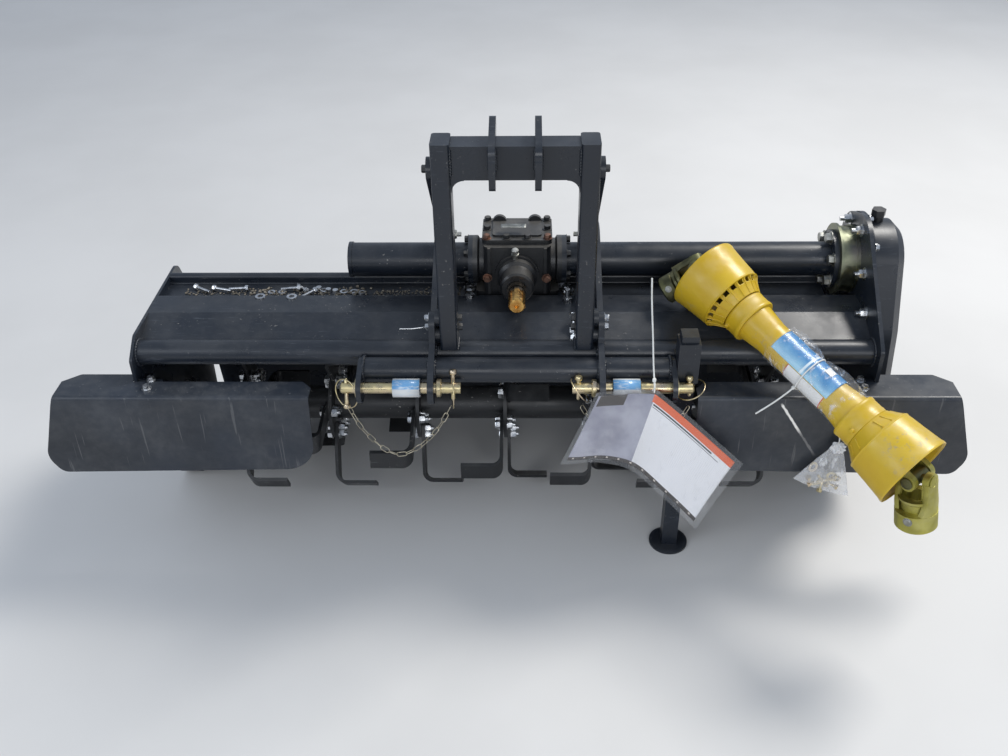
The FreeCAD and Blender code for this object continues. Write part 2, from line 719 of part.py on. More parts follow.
def gearbox_base():
    x0 = HITCH_X - GEARBOX_HALF
    x1 = HITCH_X + GEARBOX_HALF
    y0 = AXIS_Y - GEARBOX_FRONT + 2.0
    plan = [(x0, y0, 12.0), (x1, y0, 12.0), (x1, LIP_Y, 0.0), (x0, LIP_Y, 0.0)]
    return top_plate(plan, HOOD_Z, HOOD_Z + BASE_T)


def gearbox_cover():
    """Cover plate with a raised middle and two lifting lugs."""
    z0 = AXIS_Z + GEARBOX_TOP
    plan = []
    raised = []
    for sx, sy in ((-1, -1), (1, -1), (1, 1), (-1, 1)):
        plan.append((HITCH_X + sx * COVER_HALF_X, AXIS_Y + sy * COVER_HALF_Y, 12.0))
        raised.append((HITCH_X + sx * (COVER_HALF_X - 22.0), AXIS_Y + sy * (COVER_HALF_Y - 16.0), 8.0))
    cover = top_plate(plan, z0, z0 + COVER_T)
    pieces = [top_plate(raised, z0 + COVER_T - 1.0, z0 + COVER_T + 4.0)]
    for side in (-1, 1):
        y0 = AXIS_Y + COVER_HALF_Y - 20.0
        disc = Part.makeCylinder(
            LIFT_LUG_R, LIFT_LUG_T, V(HITCH_X + side * LIFT_LUG_OFF, y0, z0 + COVER_T), V(0, 1, 0),
        )
        pieces.append(disc.cut(box(HITCH_X - 90.0, HITCH_X + 90.0, y0 - 1.0, y0 + 20.0, z0 - 20.0, z0 + 1.0)))
    return cover.fuse(pieces).removeSplitter()


def shaft_tip_y():
    return AXIS_Y - GEARBOX_FRONT - BEARING_CAP_L - SEAL_HUB_L - SPLINE_OUT


def bearing_cap():
    """Flanged cap and seal hub round the input shaft."""
    r = BEARING_CAP_R
    h = SEAL_HUB_R
    full = SEAL_HUB_L + BEARING_CAP_L
    bore = SHAFT_SEAL_R + SHAFT_CLEAR
    line = [
        (bore, 0, 0),
        (h - 4.0, 0, 0),
        (h, 4.0, 0),
        (h, SEAL_HUB_L - 6.0, 0),
        (r - 4.0, SEAL_HUB_L, 0),
        (r - 4.0, full - BEARING_CAP_LIP, 0),
        (r, full - BEARING_CAP_LIP, 0),
        (r, full, 0),
        (bore, full, 0),
    ]
    y0 = AXIS_Y - GEARBOX_FRONT - full
    cap = turned(line, V(HITCH_X, y0, AXIS_Z), V(0, 1, 0))
    return cap.cut(gearbox())


def input_shaft():
    """Six-spline shaft: milled grooves, a relief groove, a round land, and a shoulder for the seal."""
    y0 = shaft_tip_y()
    full = SPLINE_OUT + SEAL_HUB_L + BEARING_CAP_L + SHAFT_INSIDE
    c = SHAFT_CHAMFER
    root = SHAFT_R - SPLINE_DEPTH
    land = SPLINE_L - SPLINE_LAND
    teeth = land - SPLINE_RELIEF
    line = [
        (0, 0, 0), (SHAFT_R - c, 0, 0), (SHAFT_R, c, 0), (SHAFT_R, teeth, 0), (root, teeth, 0),
        (root, land, 0), (SHAFT_R, land, 0),
    ]
    line += [(SHAFT_R, SPLINE_L, 0), (SHAFT_SEAL_R, SPLINE_L, 0), (SHAFT_SEAL_R, full, 0), (0, full, 0)]
    shaft = turned(line, V(HITCH_X, y0, AXIS_Z), V(0, 1, 0))
    for k in range(SPLINES):
        groove = box(
            -SPLINE_GROOVE_W / 2.0, SPLINE_GROOVE_W / 2.0, -1.0, land - SPLINE_RELIEF / 2.0, root,
            SHAFT_R + SPLINE_DEPTH,
        )
        groove.rotate(V(0, 0, 0), V(0, 1, 0), (k + 0.5) * 360.0 / SPLINES)
        groove.translate(V(HITCH_X, y0, AXIS_Z))
        shaft = shaft.cut(groove)
    return shaft.cut(Part.makeCylinder(
        SHAFT_CENTRE_R, SHAFT_CENTRE_L + 1.0, V(HITCH_X, y0 - 1.0, AXIS_Z), V(0, 1, 0),
    ))


def stub_tube():
    """Short cross tube on the left of the gearbox, closed by a cap."""
    r = DRIVE_OD / 2.0
    b = r - DRIVE_WALL
    f = SIDE_BOSS_R
    length = STUB_REACH
    line = [
        (0, 0, 0), (r + 2.0, 0, 0), (r + 2.0, CAP_T, 0), (r, CAP_T, 0), (r, length - 10.0, 0),
        (f, length - 10.0, 0), (f, length, 0), (b, length, 0), (b, CAP_T, 0), (0, CAP_T, 0),
    ]
    return turned(line, V(HITCH_X - GEARBOX_HALF - length, AXIS_Y, AXIS_Z), V(1, 0, 0))


def drive_tube():
    """Long cross tube from the gearbox to the drum, with a flange at each end."""
    x0 = HITCH_X + GEARBOX_HALF
    length = SIDE_INNER - DRUM_L - x0
    r = DRIVE_OD / 2.0
    b = r - DRIVE_WALL
    f = SIDE_BOSS_R
    g = TUBE_FLANGE_R
    t = TUBE_FLANGE_T
    line = [
        (b, 0, 0), (f, 0, 0), (f, t, 0), (r, t, 0), (r, length - t, 0), (g, length - t, 0),
        (g, length, 0), (b, length, 0),
    ]
    return turned(line, V(x0, AXIS_Y, AXIS_Z), V(1, 0, 0))


def drum():
    """Spool between the tube's flange and the side plate, with a rim at each end."""
    w = DRUM_R - DRUM_WAIST
    t = DRUM_FLANGE_T
    line = [
        (0, 0, 0), (DRUM_FLANGE_R, 0, 0), (DRUM_FLANGE_R, t, 0), (w, t + 2.0, 0),
        (w, DRUM_L - t, 0), (DRUM_R, DRUM_L - t, 0), (DRUM_R, DRUM_L, 0), (0, DRUM_L, 0),
    ]
    return turned(line, V(SIDE_INNER - DRUM_L, AXIS_Y, AXIS_Z), V(1, 0, 0))


def case_form(grow, x0, x1):
    """The gear case's side view round its three gears, grown outwards, from x0 to x1."""
    middle = (0.6 * AXIS_Y + 0.4 * ROTOR_Y - 8.0, 0.6 * AXIS_Z + 0.4 * ROTOR_Z)
    head = (AXIS_Y - 8.0, AXIS_Z + 3.0)
    case = strap(head, middle, CASE_TOP_R + grow, CASE_MID_R + grow, x0, x1)
    return case.fuse(strap(
        middle, (ROTOR_Y, ROTOR_Z), CASE_MID_R + grow, CASE_LOW_R + grow, x0, x1,
    )).removeSplitter()


def gear_case():
    """Deep cover over the gear train, with a bevelled outer edge and a bolting rim."""
    x0 = SIDE_INNER + RIGHT_PLATE_T
    x1 = x0 + CASE_T
    case = case_form(0.0, x0, x1)
    far = [e for e in case.Edges if e.BoundBox.XMin > x1 - 0.1]
    case = case.makeChamfer(CASE_EDGE, far)
    case = case.fuse(case_form(CASE_RIM, x0, x0 + CASE_RIM_T)).removeSplitter()
    return case.cut(rod_x(x0 - 1.0, x0 + HUB_L, ROTOR_Y, ROTOR_Z, JOURNAL_R + RUN_CLEAR))


def filler_plug():
    """Neck with a six-sided cap on top of the gear case."""
    x = SIDE_INNER + RIGHT_PLATE_T + 0.4 * CASE_T
    z = AXIS_Z + CASE_TOP_R - 3.0
    neck = Part.makeCylinder(12.0, 18.0, V(x, AXIS_Y, z)).cut(gear_case())
    ring = [(
        x + 15.0 * math.cos(k * math.pi / 3.0), AXIS_Y + 15.0 * math.sin(k * math.pi / 3.0), 0.0,
    ) for k in range(6)]
    return neck.fuse(top_plate(ring, z + 18.0, z + 32.0)).removeSplitter()


def tine():
    """One L blade at the top of a flange: bent from a bar, then cut to its swept outline in side view."""
    t = TINE_T
    w = TINE_W
    s = TINE_SWEEP
    high = math.sqrt(ROTOR_R ** 2 - (w / 2.0 + s) ** 2)
    root = FLANGE_R - 34.0
    bar = face_of(
        strip([(t / 2.0, root), (t / 2.0, high - t / 2.0), (TINE_FOOT, high - t / 2.0)], TINE_BEND, t),
        lambda x, z: V(x, -2.0 * w, z),
    )
    bar = facing_out(bar.extrude(V(0, 4.0 * w, 0)))
    outline = [
        (w / 2.0, root, 8.0),
        (w / 2.0, FLANGE_R + 24.0, 60.0),
        (w / 2.0 - s, high + 1.0, 0.0),
        (-w / 2.0 - s, high + 1.0, 0.0),
        (-w / 2.0, FLANGE_R + 10.0, 60.0),
        (-w / 2.0, root, 8.0),
    ]
    return bar.common(side_plate(outline, -1.0, TINE_FOOT + 1.0))


def tine_set(blades, x, k):
    """The tines bolted on both faces of the flange at x; each flange is turned a step on from the last."""
    found = []
    for side, blade, start in ((1, blades[0], 0.0), (-1, blades[1], 180.0 / TINES_PER_SIDE)):
        for n in range(TINES_PER_SIDE):
            turn = n * 360.0 / TINES_PER_SIDE + start + k * TINE_STEP
            place = FreeCAD.Placement(V(x + side * FLANGE_T / 2.0, ROTOR_Y, ROTOR_Z), Rot(V(1, 0, 0), turn))
            found.append(blade.transformed(place.toMatrix(), copy=True))
    return found


def rotor():
    """Tined reel: a tube with flanges and L tines, and a journal at each end."""
    x0 = -SIDE_INNER + ROTOR_END_GAP
    x1 = SIDE_INNER - ROTOR_END_GAP
    body = rod_x(x0, x1, ROTOR_Y, ROTOR_Z, ROTOR_TUBE_R)
    pieces = [rod_x(-SIDE_INNER - LEFT_PLATE_T - JOURNAL_L, x0, ROTOR_Y, ROTOR_Z, JOURNAL_R)]
    pieces.append(rod_x(x1, SIDE_INNER + RIGHT_PLATE_T + JOURNAL_L, ROTOR_Y, ROTOR_Z, JOURNAL_R))
    one = tine()
    blades = (one, mirror_x(one))
    for k in range(FLANGE_COUNT):
        x = (k - (FLANGE_COUNT - 1) / 2.0) * FLANGE_PITCH
        pieces.append(rod_x(x - FLANGE_T / 2.0, x + FLANGE_T / 2.0, ROTOR_Y, ROTOR_Z, FLANGE_R))
        pieces = pieces + tine_set(blades, x, k)
    return body.fuse(pieces).removeSplitter()


def rotor_bearing():
    """Flanged hub on the outside of the left plate, closed by its cap."""
    bore = JOURNAL_R + RUN_CLEAR
    r = HUB_R
    f = HUB_FLANGE_R
    line = [
        (bore, 0, 0), (f, 0, 0), (f, HUB_FLANGE_T, 0), (r, HUB_FLANGE_T + 3.0, 0),
        (r, HUB_L - 5.0, 0), (r - 5.0, HUB_L, 0), (0, HUB_L, 0), (0, HUB_L - HUB_CAP, 0),
        (bore, HUB_L - HUB_CAP, 0),
    ]
    return turned(line, V(-SIDE_INNER - LEFT_PLATE_T, ROTOR_Y, ROTOR_Z), V(-1, 0, 0))


def guard(side):
    """Folded wing: one sheet bent down along its front, cut to its outline from the front and from above."""
    t = GUARD_T
    h = GUARD_H
    zt = GUARD_TOP_Z
    low_out = GUARD_OUT + GUARD_FLARE
    back = GUARD_BACK_Y + GUARD_TAIL
    fold = [(back, zt - t / 2.0), (GUARD_Y + t / 2.0, zt - t / 2.0), (GUARD_Y + t / 2.0, zt - h)]
    sheet = sheet_x(fold, GUARD_BEND, t, GUARD_IN, low_out)
    c = GUARD_CORNER
    face = [
        (GUARD_IN, zt + 1.0, 0.0),
        (GUARD_OUT - 8.0, zt + 1.0, 0.0),
        (GUARD_OUT, zt - 22.0, 20.0),
        (low_out + 4.0, zt - h + 40.0, c),
        (low_out - 20.0, zt - h, 24.0),
        (GUARD_IN + 6.0, zt - h + 10.0, GUARD_IN_CORNER),
    ]
    wing = sheet.common(front_plate(face, GUARD_Y - 1.0, back + 1.0))
    tail_in = SIDE_INNER + RIGHT_PLATE_T + 1.0
    plan = [
        (GUARD_IN, GUARD_Y - 1.0, 0.0),
        (low_out + 5.0, GUARD_Y - 1.0, 0.0),
        (low_out + 5.0, GUARD_Y + 16.0, 0.0),
        (GUARD_OUT - 40.0, back, 12.0),
        (tail_in, back, 0.0),
        (tail_in, GUARD_BACK_Y, 0.0),
        (GUARD_IN + 20.0, GUARD_BACK_Y, 0.0),
        (GUARD_IN, GUARD_BACK_Y - 22.0, 0.0),
    ]
    wing = wing.common(top_plate(plan, zt - h - 1.0, zt + 1.0))
    return wing if side > 0 else mirror_x(wing)


def stand_sleeve():
    """Square sleeve with a saddle block between its back and the long tube."""
    h = SLEEVE / 2.0
    g = h - SLEEVE_WALL
    y = STAND_Y
    z0 = SLEEVE_TOP_Z - SLEEVE_H
    outer = box(STAND_X - h, STAND_X + h, y - h, y + h, z0, SLEEVE_TOP_Z)
    block = box(STAND_X - h, STAND_X + h, y, FRONT_TUBE_Y, FRONT_TUBE_Z - 18.0, FRONT_TUBE_Z + 18.0)
    outer = outer.fuse(block).removeSplitter().cut(front_tube_solid())
    return outer.cut(box(STAND_X - g, STAND_X + g, y - g, y + g, z0 - 1.0, SLEEVE_TOP_Z + 1.0))


def stand_leg():
    """Square leg with a closed top and a round foot on a flared collar."""
    y = STAND_Y
    h = LEG / 2.0
    g = h - LEG_WALL
    leg = box(STAND_X - h, STAND_X + h, y - h, y + h, FOOT_T, LEG_TOP_Z)
    leg = leg.cut(box(STAND_X - g, STAND_X + g, y - g, y + g, FOOT_T, LEG_TOP_Z - LEG_WALL))
    for z in (PIN_Z - 130.0, PIN_Z - 180.0, PIN_Z - 230.0):
        leg = leg.cut(rod_x(STAND_X - h - 1.0, STAND_X + h + 1.0, y, z, 6.5))
    foot = [(0, 0, 0), (FOOT_R, 0, 0), (FOOT_R, FOOT_T - 2.0, 0), (FOOT_R - 6.0, FOOT_T, 0), (0, FOOT_T, 0)]
    return leg.fuse(turned(foot, V(STAND_X, y, 0), V(0, 0, 1))).removeSplitter()


def skid(side):
    """Bent bar under a side plate: its flat lies on the ground and its front follows the plate's edge."""
    x0 = SIDE_INNER + (RIGHT_PLATE_T if side > 0 else LEFT_PLATE_T) - SKID_INSET
    t = SKID_T
    low = (SKID_FRONT_Y, SKID_T)
    way = unit(low, (GUARD_BACK_Y, PLATE_FRONT_Z))
    lean = math.atan2(way[1], -way[0])
    knee = (SKID_FRONT_Y - t / 2.0 * math.tan(lean / 2.0), t / 2.0)
    line = [
        (SKID_REAR_Y + 24.0, t / 2.0 + 18.0), (SKID_REAR_Y - 4.0, t / 2.0), knee,
        along(knee, way, SKID_RUN),
    ]
    face = face_of(bar_runs(line, t), lambda y, z: V(x0, y, z))
    shoe = facing_out(face.extrude(V(SKID_W, 0, 0))).cut(right_plate())
    return shoe if side > 0 else mirror_x(shoe).cut(left_plate())


def bar_runs(line, t):
    """Outline of the skid's bar: a tight bend at the rear, and one at the front round the plate's corner."""
    whole = strip(line, SKID_BEND + t / 2.0, t)
    return whole


def tailboard():
    """Curved board behind the rotor with rolled knuckles round the hinge rod and a turned-out lower rim."""
    x0 = -SIDE_INNER + BOARD_GAP
    x1 = SIDE_INNER - BOARD_GAP
    t = BOARD_T
    start = (HINGE_Y + KNUCKLE_R - t / 2.0, HINGE_Z - 2.0)
    line = [
        start, (start[0] + 4.0, HINGE_Z - 40.0), (BOARD_END_Y - 62.0, BOARD_FOLD_Z),
        (BOARD_END_Y - BOARD_RIM, BOARD_LOW_Z + 26.0),
    ]
    board = sheet_x(line, BOARD_BEND, t, x0, x1)
    rim = [along(line[3], (0.0, 1.0), 20.0), (line[3][0] + 1.0, line[3][1]), (BOARD_END_Y, BOARD_LOW_Z)]
    board = board.fuse(sheet_x(rim, 8.0, t, x0, x1))
    top = HINGE_Z - KNUCKLE_R
    board = board.cut(box(x0 - 1.0, x1 + 1.0, HINGE_Y - 30.0, start[0] + t, top, HINGE_Z + 30.0))
    knuckles = []
    for x in knuckle_places():
        knuckle = rod_x(x - KNUCKLE_W / 2.0, x + KNUCKLE_W / 2.0, HINGE_Y, HINGE_Z, KNUCKLE_R)
        leaf = box(
            x - KNUCKLE_W / 2.0, x + KNUCKLE_W / 2.0, start[0] - t / 2.0, start[0] + t / 2.0,
            top - 6.0, HINGE_Z,
        )
        knuckles.append(knuckle.fuse(leaf))
    board = board.fuse(knuckles).removeSplitter()
    return board.cut(rod_x(x0 - 1.0, x1 + 1.0, HINGE_Y, HINGE_Z, HINGE_R + RUN_CLEAR))


def hinge_rod():
    return rod_x(-SIDE_INNER, SIDE_INNER, HINGE_Y, HINGE_Z, HINGE_R)


def dl_frame():
    axis = DL_LOW - DL_TOP
    length = axis.Length
    axis.normalize()
    return axis, length


def dl_ends():
    """Each end of the driveline: its row in the table, the mouth of its bell and the way out along the axis."""
    axis, length = dl_frame()
    top, low = DL_ENDS
    return [(top, DL_TOP, axis * -1.0), (low, DL_LOW, axis)]


def dl_tube():
    """Two plastic guard tubes, one sliding in the other, each flared towards its collar."""
    axis, length = dl_frame()
    start = BELL_L + RIBBED_L + DL_COLLAR_L
    full = length - 2.0 * start
    step = full - DL_TUBE_STEP
    line = [
        (0, 0, 0),
        (DL_FLARE_R, 0, 0),
        (DL_TUBE_R, DL_FLARE_L, 0),
        (DL_TUBE_R, step, 0),
        (DL_INNER_TUBE_R, step, 0),
        (DL_INNER_TUBE_R, full - DL_FLARE_L, 0),
        (DL_FLARE_R, full, 0),
        (0, full, 0),
    ]
    return turned(line, DL_TOP + axis * start, axis)


def bell_rib(turn):
    """One rib on the cone behind a bell's shoulder, from the shoulder down to the collar."""
    low = BELL_L - 1.0
    high = BELL_L + RIBBED_L - 2.0
    root = RIB_H / 2.0
    line = [
        (RIBBED_R - root, low, 0), (RIBBED_R + RIB_H, low, 0), (DL_COLLAR_R + 1.0, high, 0),
        (DL_COLLAR_R - root, high, 0),
    ]
    rib = front_plate(line, -RIB_T / 2.0, RIB_T / 2.0)
    rib.rotate(V(0, 0, 0), V(0, 0, 1), turn)
    return rib


def dl_bell(end):
    """Bell of the guard: a wide mouth, a shoulder, then a ribbed cone down to the collar."""
    row, mouth, out = end
    count = row[1]
    w = BELL_WALL
    full = BELL_L + RIBBED_L
    line = [
        (BELL_MOUTH_R - w, 0, 0),
        (BELL_MOUTH_R, 0, 0),
        (BELL_SHOULDER_R, BELL_L, 3.0),
        (RIBBED_R, BELL_L + 2.0, 0),
        (DL_COLLAR_R, full, 0),
        (DL_COLLAR_R - w, full, 0),
        (RIBBED_R - w, BELL_L + 2.0 - w, 0),
        (BELL_SHOULDER_R - w, BELL_L - w, 0),
    ]
    bell = turned(line, V(0, 0, 0), V(0, 0, 1))
    bell = bell.fuse([bell_rib(k * 360.0 / count) for k in range(count)]).removeSplitter()
    bell.Placement = FreeCAD.Placement(mouth, Rot(V(0, 0, 1), out * -1.0))
    return bell


def dl_collar(end):
    """Bearing collar between a bell and the guard tube, with a groove at each side."""
    row, mouth, out = end
    r = DL_COLLAR_R
    g = COLLAR_GROOVE
    a = COLLAR_GAP
    b = DL_COLLAR_L - COLLAR_GAP
    line = [
        (0, 0, 0), (r - g, 0, 0), (r - g, a, 0), (r, a, 2.0), (r - 2.0, b, 1.0), (r - g, b, 0),
        (r - g, DL_COLLAR_L, 0), (0, DL_COLLAR_L, 0),
    ]
    return turned(line, mouth - out * (BELL_L + RIBBED_L), out * -1.0)


def joint_centre(end):
    row, mouth, out = end
    return mouth + out * JOINT_OUT


def hinge_axis(end):
    """Line about which the outer fork swings, square to the driveline and to the fork at rest."""
    row, mouth, out = end
    across = out.cross(row[6])
    across.normalize()
    return across


def place_end(shape, centre, out, across):
    """Move a piece from +Z out, +X across, to an end of the driveline."""
    up = out.cross(across)
    turn = FreeCAD.Matrix(
        across.x, up.x, out.x, centre.x, across.y, up.y, out.y, centre.y, across.z, up.z, out.z,
        centre.z,
    )
    shape.Placement = FreeCAD.Placement(turn)
    return shape


def fork_ears(reach, bore):
    """Two ears on either side along X, from the joint at the origin back to z = reach."""
    found = []
    for s in (-1.0, 1.0):
        x0, x1 = between(s * FORK_EAR_IN, s * (FORK_EAR_IN + FORK_EAR_T))
        leaf = box(x0, x1, -FORK_EAR_R, FORK_EAR_R, min(0.0, reach), max(0.0, reach))
        leaf = leaf.fuse(rod_x(x0, x1, 0.0, 0.0, FORK_EAR_R)).removeSplitter()
        found.append(leaf.cut(rod_x(x0 - 1.0, x1 + 1.0, 0.0, 0.0, bore)))
    return found


def inner_yoke(end):
    row, mouth, out = end
    reach = FORK_REACH + 14.0
    wide = FORK_EAR_IN + FORK_EAR_T
    ears = fork_ears(-reach, TRUNNION_R + RUN_CLEAR)
    run = BELL_L + RIBBED_L + JOINT_OUT
    neck = YOKE_NECK_R
    line = [
        (0, -run, 0), (neck, -run, 0), (neck, -reach - 16.0, 0), (wide, -reach, 0),
        (wide, -FORK_REACH, 0), (0, -FORK_REACH, 0),
    ]
    return place_end(
        turned(line, V(0, 0, 0), V(0, 0, 1)).fuse(ears).removeSplitter(), joint_centre(end), out,
        hinge_axis(end),
    )


def cross(end):
    rest = end[0][6]
    span = FORK_EAR_IN + FORK_EAR_T
    bar = rod_x(-span, span, 0.0, 0.0, TRUNNION_R)
    other = Part.makeCylinder(TRUNNION_R, 2.0 * span, V(0, -span, 0), V(0, 1, 0))
    core = Part.makeCylinder(CROSS_CORE_R, 2.0 * FORK_EAR_IN - 4.0, V(2.0 - FORK_EAR_IN, 0, 0), V(1, 0, 0))
    piece = bar.fuse([other, core]).removeSplitter()
    return place_end(piece, joint_centre(end), rest, hinge_axis(end))


def outer_yoke(end):
    """Fork with a waist and a locking ring, bored for a splined shaft."""
    name, ribs, length, waist, ring_r, ring_l, rest = end[0]
    ears = fork_ears(FORK_REACH + 8.0, TRUNNION_R)
    for e in ears:
        e.rotate(V(0, 0, 0), V(0, 0, 1), 90.0)
    wide = FORK_EAR_IN + FORK_EAR_T
    ring = length - ring_l
    bore = SHAFT_R + 0.15
    line = [
        (bore, FORK_REACH, 0),
        (wide, FORK_REACH, 0),
        (wide, FORK_REACH + 5.0, 0),
        (waist, FORK_REACH + 10.0, 0),
        (waist, ring, 0),
        (ring_r, ring + 3.0, 0),
        (ring_r, length - 3.0, 0),
        (ring_r - 3.0, length, 0),
        (bore, length, 0),
    ]
    yoke = turned(line, V(0, 0, 0), V(0, 0, 1)).fuse(ears).removeSplitter()
    return place_end(yoke, joint_centre(end), rest, hinge_axis(end))


def booklet():
    """Rolled papers in a clear sleeve round the guard tube."""
    axis, length = dl_frame()
    r = DL_TUBE_R
    ring = [(r, 0, 0), (r + BOOKLET_T, 0, 0), (r + BOOKLET_T, BOOKLET_L, 0), (r, BOOKLET_L, 0)]
    return turned(ring, DL_TOP + axis * BOOKLET_AT, axis)


def tag():
    """Stiff folded card hung in front of the right lower pin, as (x, z) corners from the pin."""
    corners = [(183.0, 11.0), (293.0, 17.0), (482.0, -164.0), (405.0, -334.0), (116.0, -161.0)]
    return front_plate([(x, PIN_Z + z, 6.0) for x, z in corners], TAG_Y, TAG_Y + TAG_T)


def parts_bag():
    """Small bag of fittings: a pouch that is narrow at its tied neck."""
    y1 = GUARD_Y - 0.3
    z0 = BAG_Z - BAG_H / 2.0
    z1 = BAG_Z + BAG_H / 2.0
    w = BAG_W / 2.0
    face = [
        (BAG_X - w, z0, 22.0), (BAG_X + w, z0, 22.0), (BAG_X + 0.8 * w, z1 - 45.0, 25.0),
        (BAG_X + 0.3 * w, z1, 6.0), (BAG_X - 0.3 * w, z1, 6.0), (BAG_X - 0.8 * w, z1 - 45.0, 25.0),
    ]
    return front_plate(face, y1 - BAG_T, y1)


def build():
    ends = dl_ends()
    nodes = [
        ("front_tube", front_tube()),
        ("hitch_tube", hitch_tube()),
        ("side_plate_left", left_plate()),
        ("side_plate_right", right_plate()),
        ("hood", hood()),
        ("hood_box", hood_box()),
        ("hitch_plate_left", hitch_plate(-1)),
        ("hitch_plate_right", hitch_plate(1)),
        ("hitch_lugs", pair(hitch_lug)),
        ("lower_pins", pair(lower_pin)),
        ("pin_bushings", pair(bushing)),
        ("mast_posts", pair(post)),
        ("mast_beam", beam()),
        ("top_link_ears", pair(ear)),
        ("mast_braces", pair(brace)),
        ("brace_brackets", pair(brace_bracket)),
        ("gearbox_housing", gearbox()),
        ("gearbox_base", gearbox_base()),
        ("gearbox_cover", gearbox_cover()),
        ("bearing_cap", bearing_cap()),
        ("input_shaft", input_shaft()),
        ("stub_tube", stub_tube()),
        ("drive_tube", drive_tube()),
        ("drive_drum", drum()),
        ("gear_case", gear_case()),
        ("filler_plug", filler_plug()),
        ("rotor", rotor()),
        ("rotor_bearing", rotor_bearing()),
        ("guard_left", guard(-1)),
        ("guard_right", guard(1)),
        ("stand_sleeve", stand_sleeve()),
        ("stand_leg", stand_leg()),
        ("skids", pair(skid)),
        ("tailboard", tailboard()),
        ("hinge_rod", hinge_rod()),
        ("driveline_tube", dl_tube()),
        ("driveline_cones", Part.makeCompound([dl_bell(end) for end in ends])),
        ("driveline_collars", Part.makeCompound([dl_collar(end) for end in ends])),
        ("booklet", booklet()),
        ("hang_tag", tag()),
        ("parts_bag", parts_bag()),
    ]
    for end in ends:
        name = end[0][0]
        nodes.append(("yoke_inner_" + name, inner_yoke(end)))
        nodes.append(("yoke_cross_" + name, cross(end)))
        nodes.append(("yoke_outer_" + name, outer_yoke(end)))
    for name, shape in nodes:
        save(name, shape)


build()
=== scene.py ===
"""Dresses a rotary tiller: finishes for its frame, its fastenings, and the papers and fittings tied on for
delivery.
"""

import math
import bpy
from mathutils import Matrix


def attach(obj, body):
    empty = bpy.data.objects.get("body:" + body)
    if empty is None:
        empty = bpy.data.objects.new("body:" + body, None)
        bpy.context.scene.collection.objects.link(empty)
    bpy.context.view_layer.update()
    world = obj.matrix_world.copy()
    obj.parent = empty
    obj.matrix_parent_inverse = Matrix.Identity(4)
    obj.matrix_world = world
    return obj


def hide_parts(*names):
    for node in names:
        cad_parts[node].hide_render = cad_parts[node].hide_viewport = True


bl_info = {
    "name": "Rotary tiller dressing",
    "version": (1, 0, 0),
    "blender": (4, 5, 0),
    "location": "3D View > Sidebar > Tiller",
    "description": "Finishes, fastenings and tied-on papers for a rotary tiller",
    "category": "Object",
}

import bmesh
import bpy
import numpy as np
from bpy.props import FloatProperty, FloatVectorProperty, IntProperty, PointerProperty
from bpy.types import Operator, Panel, PropertyGroup
from mathutils import Matrix, Vector

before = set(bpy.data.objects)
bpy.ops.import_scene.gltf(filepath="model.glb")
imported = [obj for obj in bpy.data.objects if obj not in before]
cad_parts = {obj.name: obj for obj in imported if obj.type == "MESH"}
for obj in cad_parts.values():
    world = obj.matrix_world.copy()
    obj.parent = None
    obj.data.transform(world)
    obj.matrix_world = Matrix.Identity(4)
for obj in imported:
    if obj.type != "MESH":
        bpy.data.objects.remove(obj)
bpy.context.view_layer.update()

TURN = 2.0 * math.pi
X = np.array((1.0, 0.0, 0.0))
Y = np.array((0.0, 1.0, 0.0))
Z = np.array((0.0, 0.0, 1.0))

# Places carried over from the frame, in metres
HITCH_X = 0.028
PIN = np.array((HITCH_X, -0.146, 0.445))
PIN_R = 0.0111
FRONT_TUBE = np.array((0.0, -0.052, 0.468))
HITCH_TUBE = np.array((0.0, -0.104, 0.460))
TUBE_R = 0.0254
AXIS = np.array((HITCH_X, 0.182, 0.555))
ROTOR = np.array((0.0, 0.114, 0.220))
SIDE = 0.745
HOOD_Z = 0.490
DL_TOP = np.array((0.4076, 0.0494, 0.5931))
DL_LOW = np.array((0.7485, -0.3533, 0.4051))

# The camera stands where the photograph was taken: its right and ahead, and its place
CAMERA_RIGHT = (0.999749, 0.018658, -0.012369)
CAMERA_AHEAD = (-0.022378, 0.818931, -0.573456)
CAMERA_AT = (0.048564, -1.780752, 1.613767)


def unit(v):
    """Each vector over its own length."""
    v = np.asarray(v, float)
    return v / np.linalg.norm(v, axis=-1, keepdims=True)


def square_to(way):
    """Two unit vectors square to each direction in way and to each other: the cross product with the world
    axis that it leans on least, then again.
    """
    way = np.atleast_2d(unit(way))
    seed = np.where(np.abs(way[:, 2:3]) < 0.9, Z, X)
    a = unit(np.cross(seed, way))
    return a, np.cross(way, a), way


def smooth_path(points, count):
    """Curve through the given points: on each span the cubic whose end slopes are half the gap between the
    neighbours, at evenly spread parameters.
    """
    p = np.asarray(points, float)
    p = np.vstack((2 * p[0] - p[1], p, 2 * p[-1] - p[-2]))
    t = np.linspace(0.0, len(p) - 3, count)
    k = np.minimum(t.astype(int), len(p) - 4)
    u = (t - k)[:, None]
    a, b, c, d = p[k], p[k + 1], p[k + 2], p[k + 3]
    return 0.5 * (2 * b + (c - a) * u + (2 * a - 5 * b + 4 * c - d) * u**2 + (3 * b - a - 3 * c + d) * u**3)


def around(centre, radius, way, angles):
    """Places on a circle square to way: centre + radius * (cos angle * a + sin angle * b)."""
    a, b = (v[0] for v in square_to(way)[:2])
    return np.asarray(centre) + radius * (np.cos(angles)[:, None] * a + np.sin(angles)[:, None] * b)


def run_along(line):
    """Length run along a line of points up to each of them: the sum of the steps so far."""
    return np.concatenate(((0.0,), np.cumsum(np.linalg.norm(np.diff(line, axis=0), axis=1))))


def spread(rows, columns):
    """Two grids of values: one that runs down the rows and one that runs along the columns."""
    return np.meshgrid(rows, columns, indexing="ij")


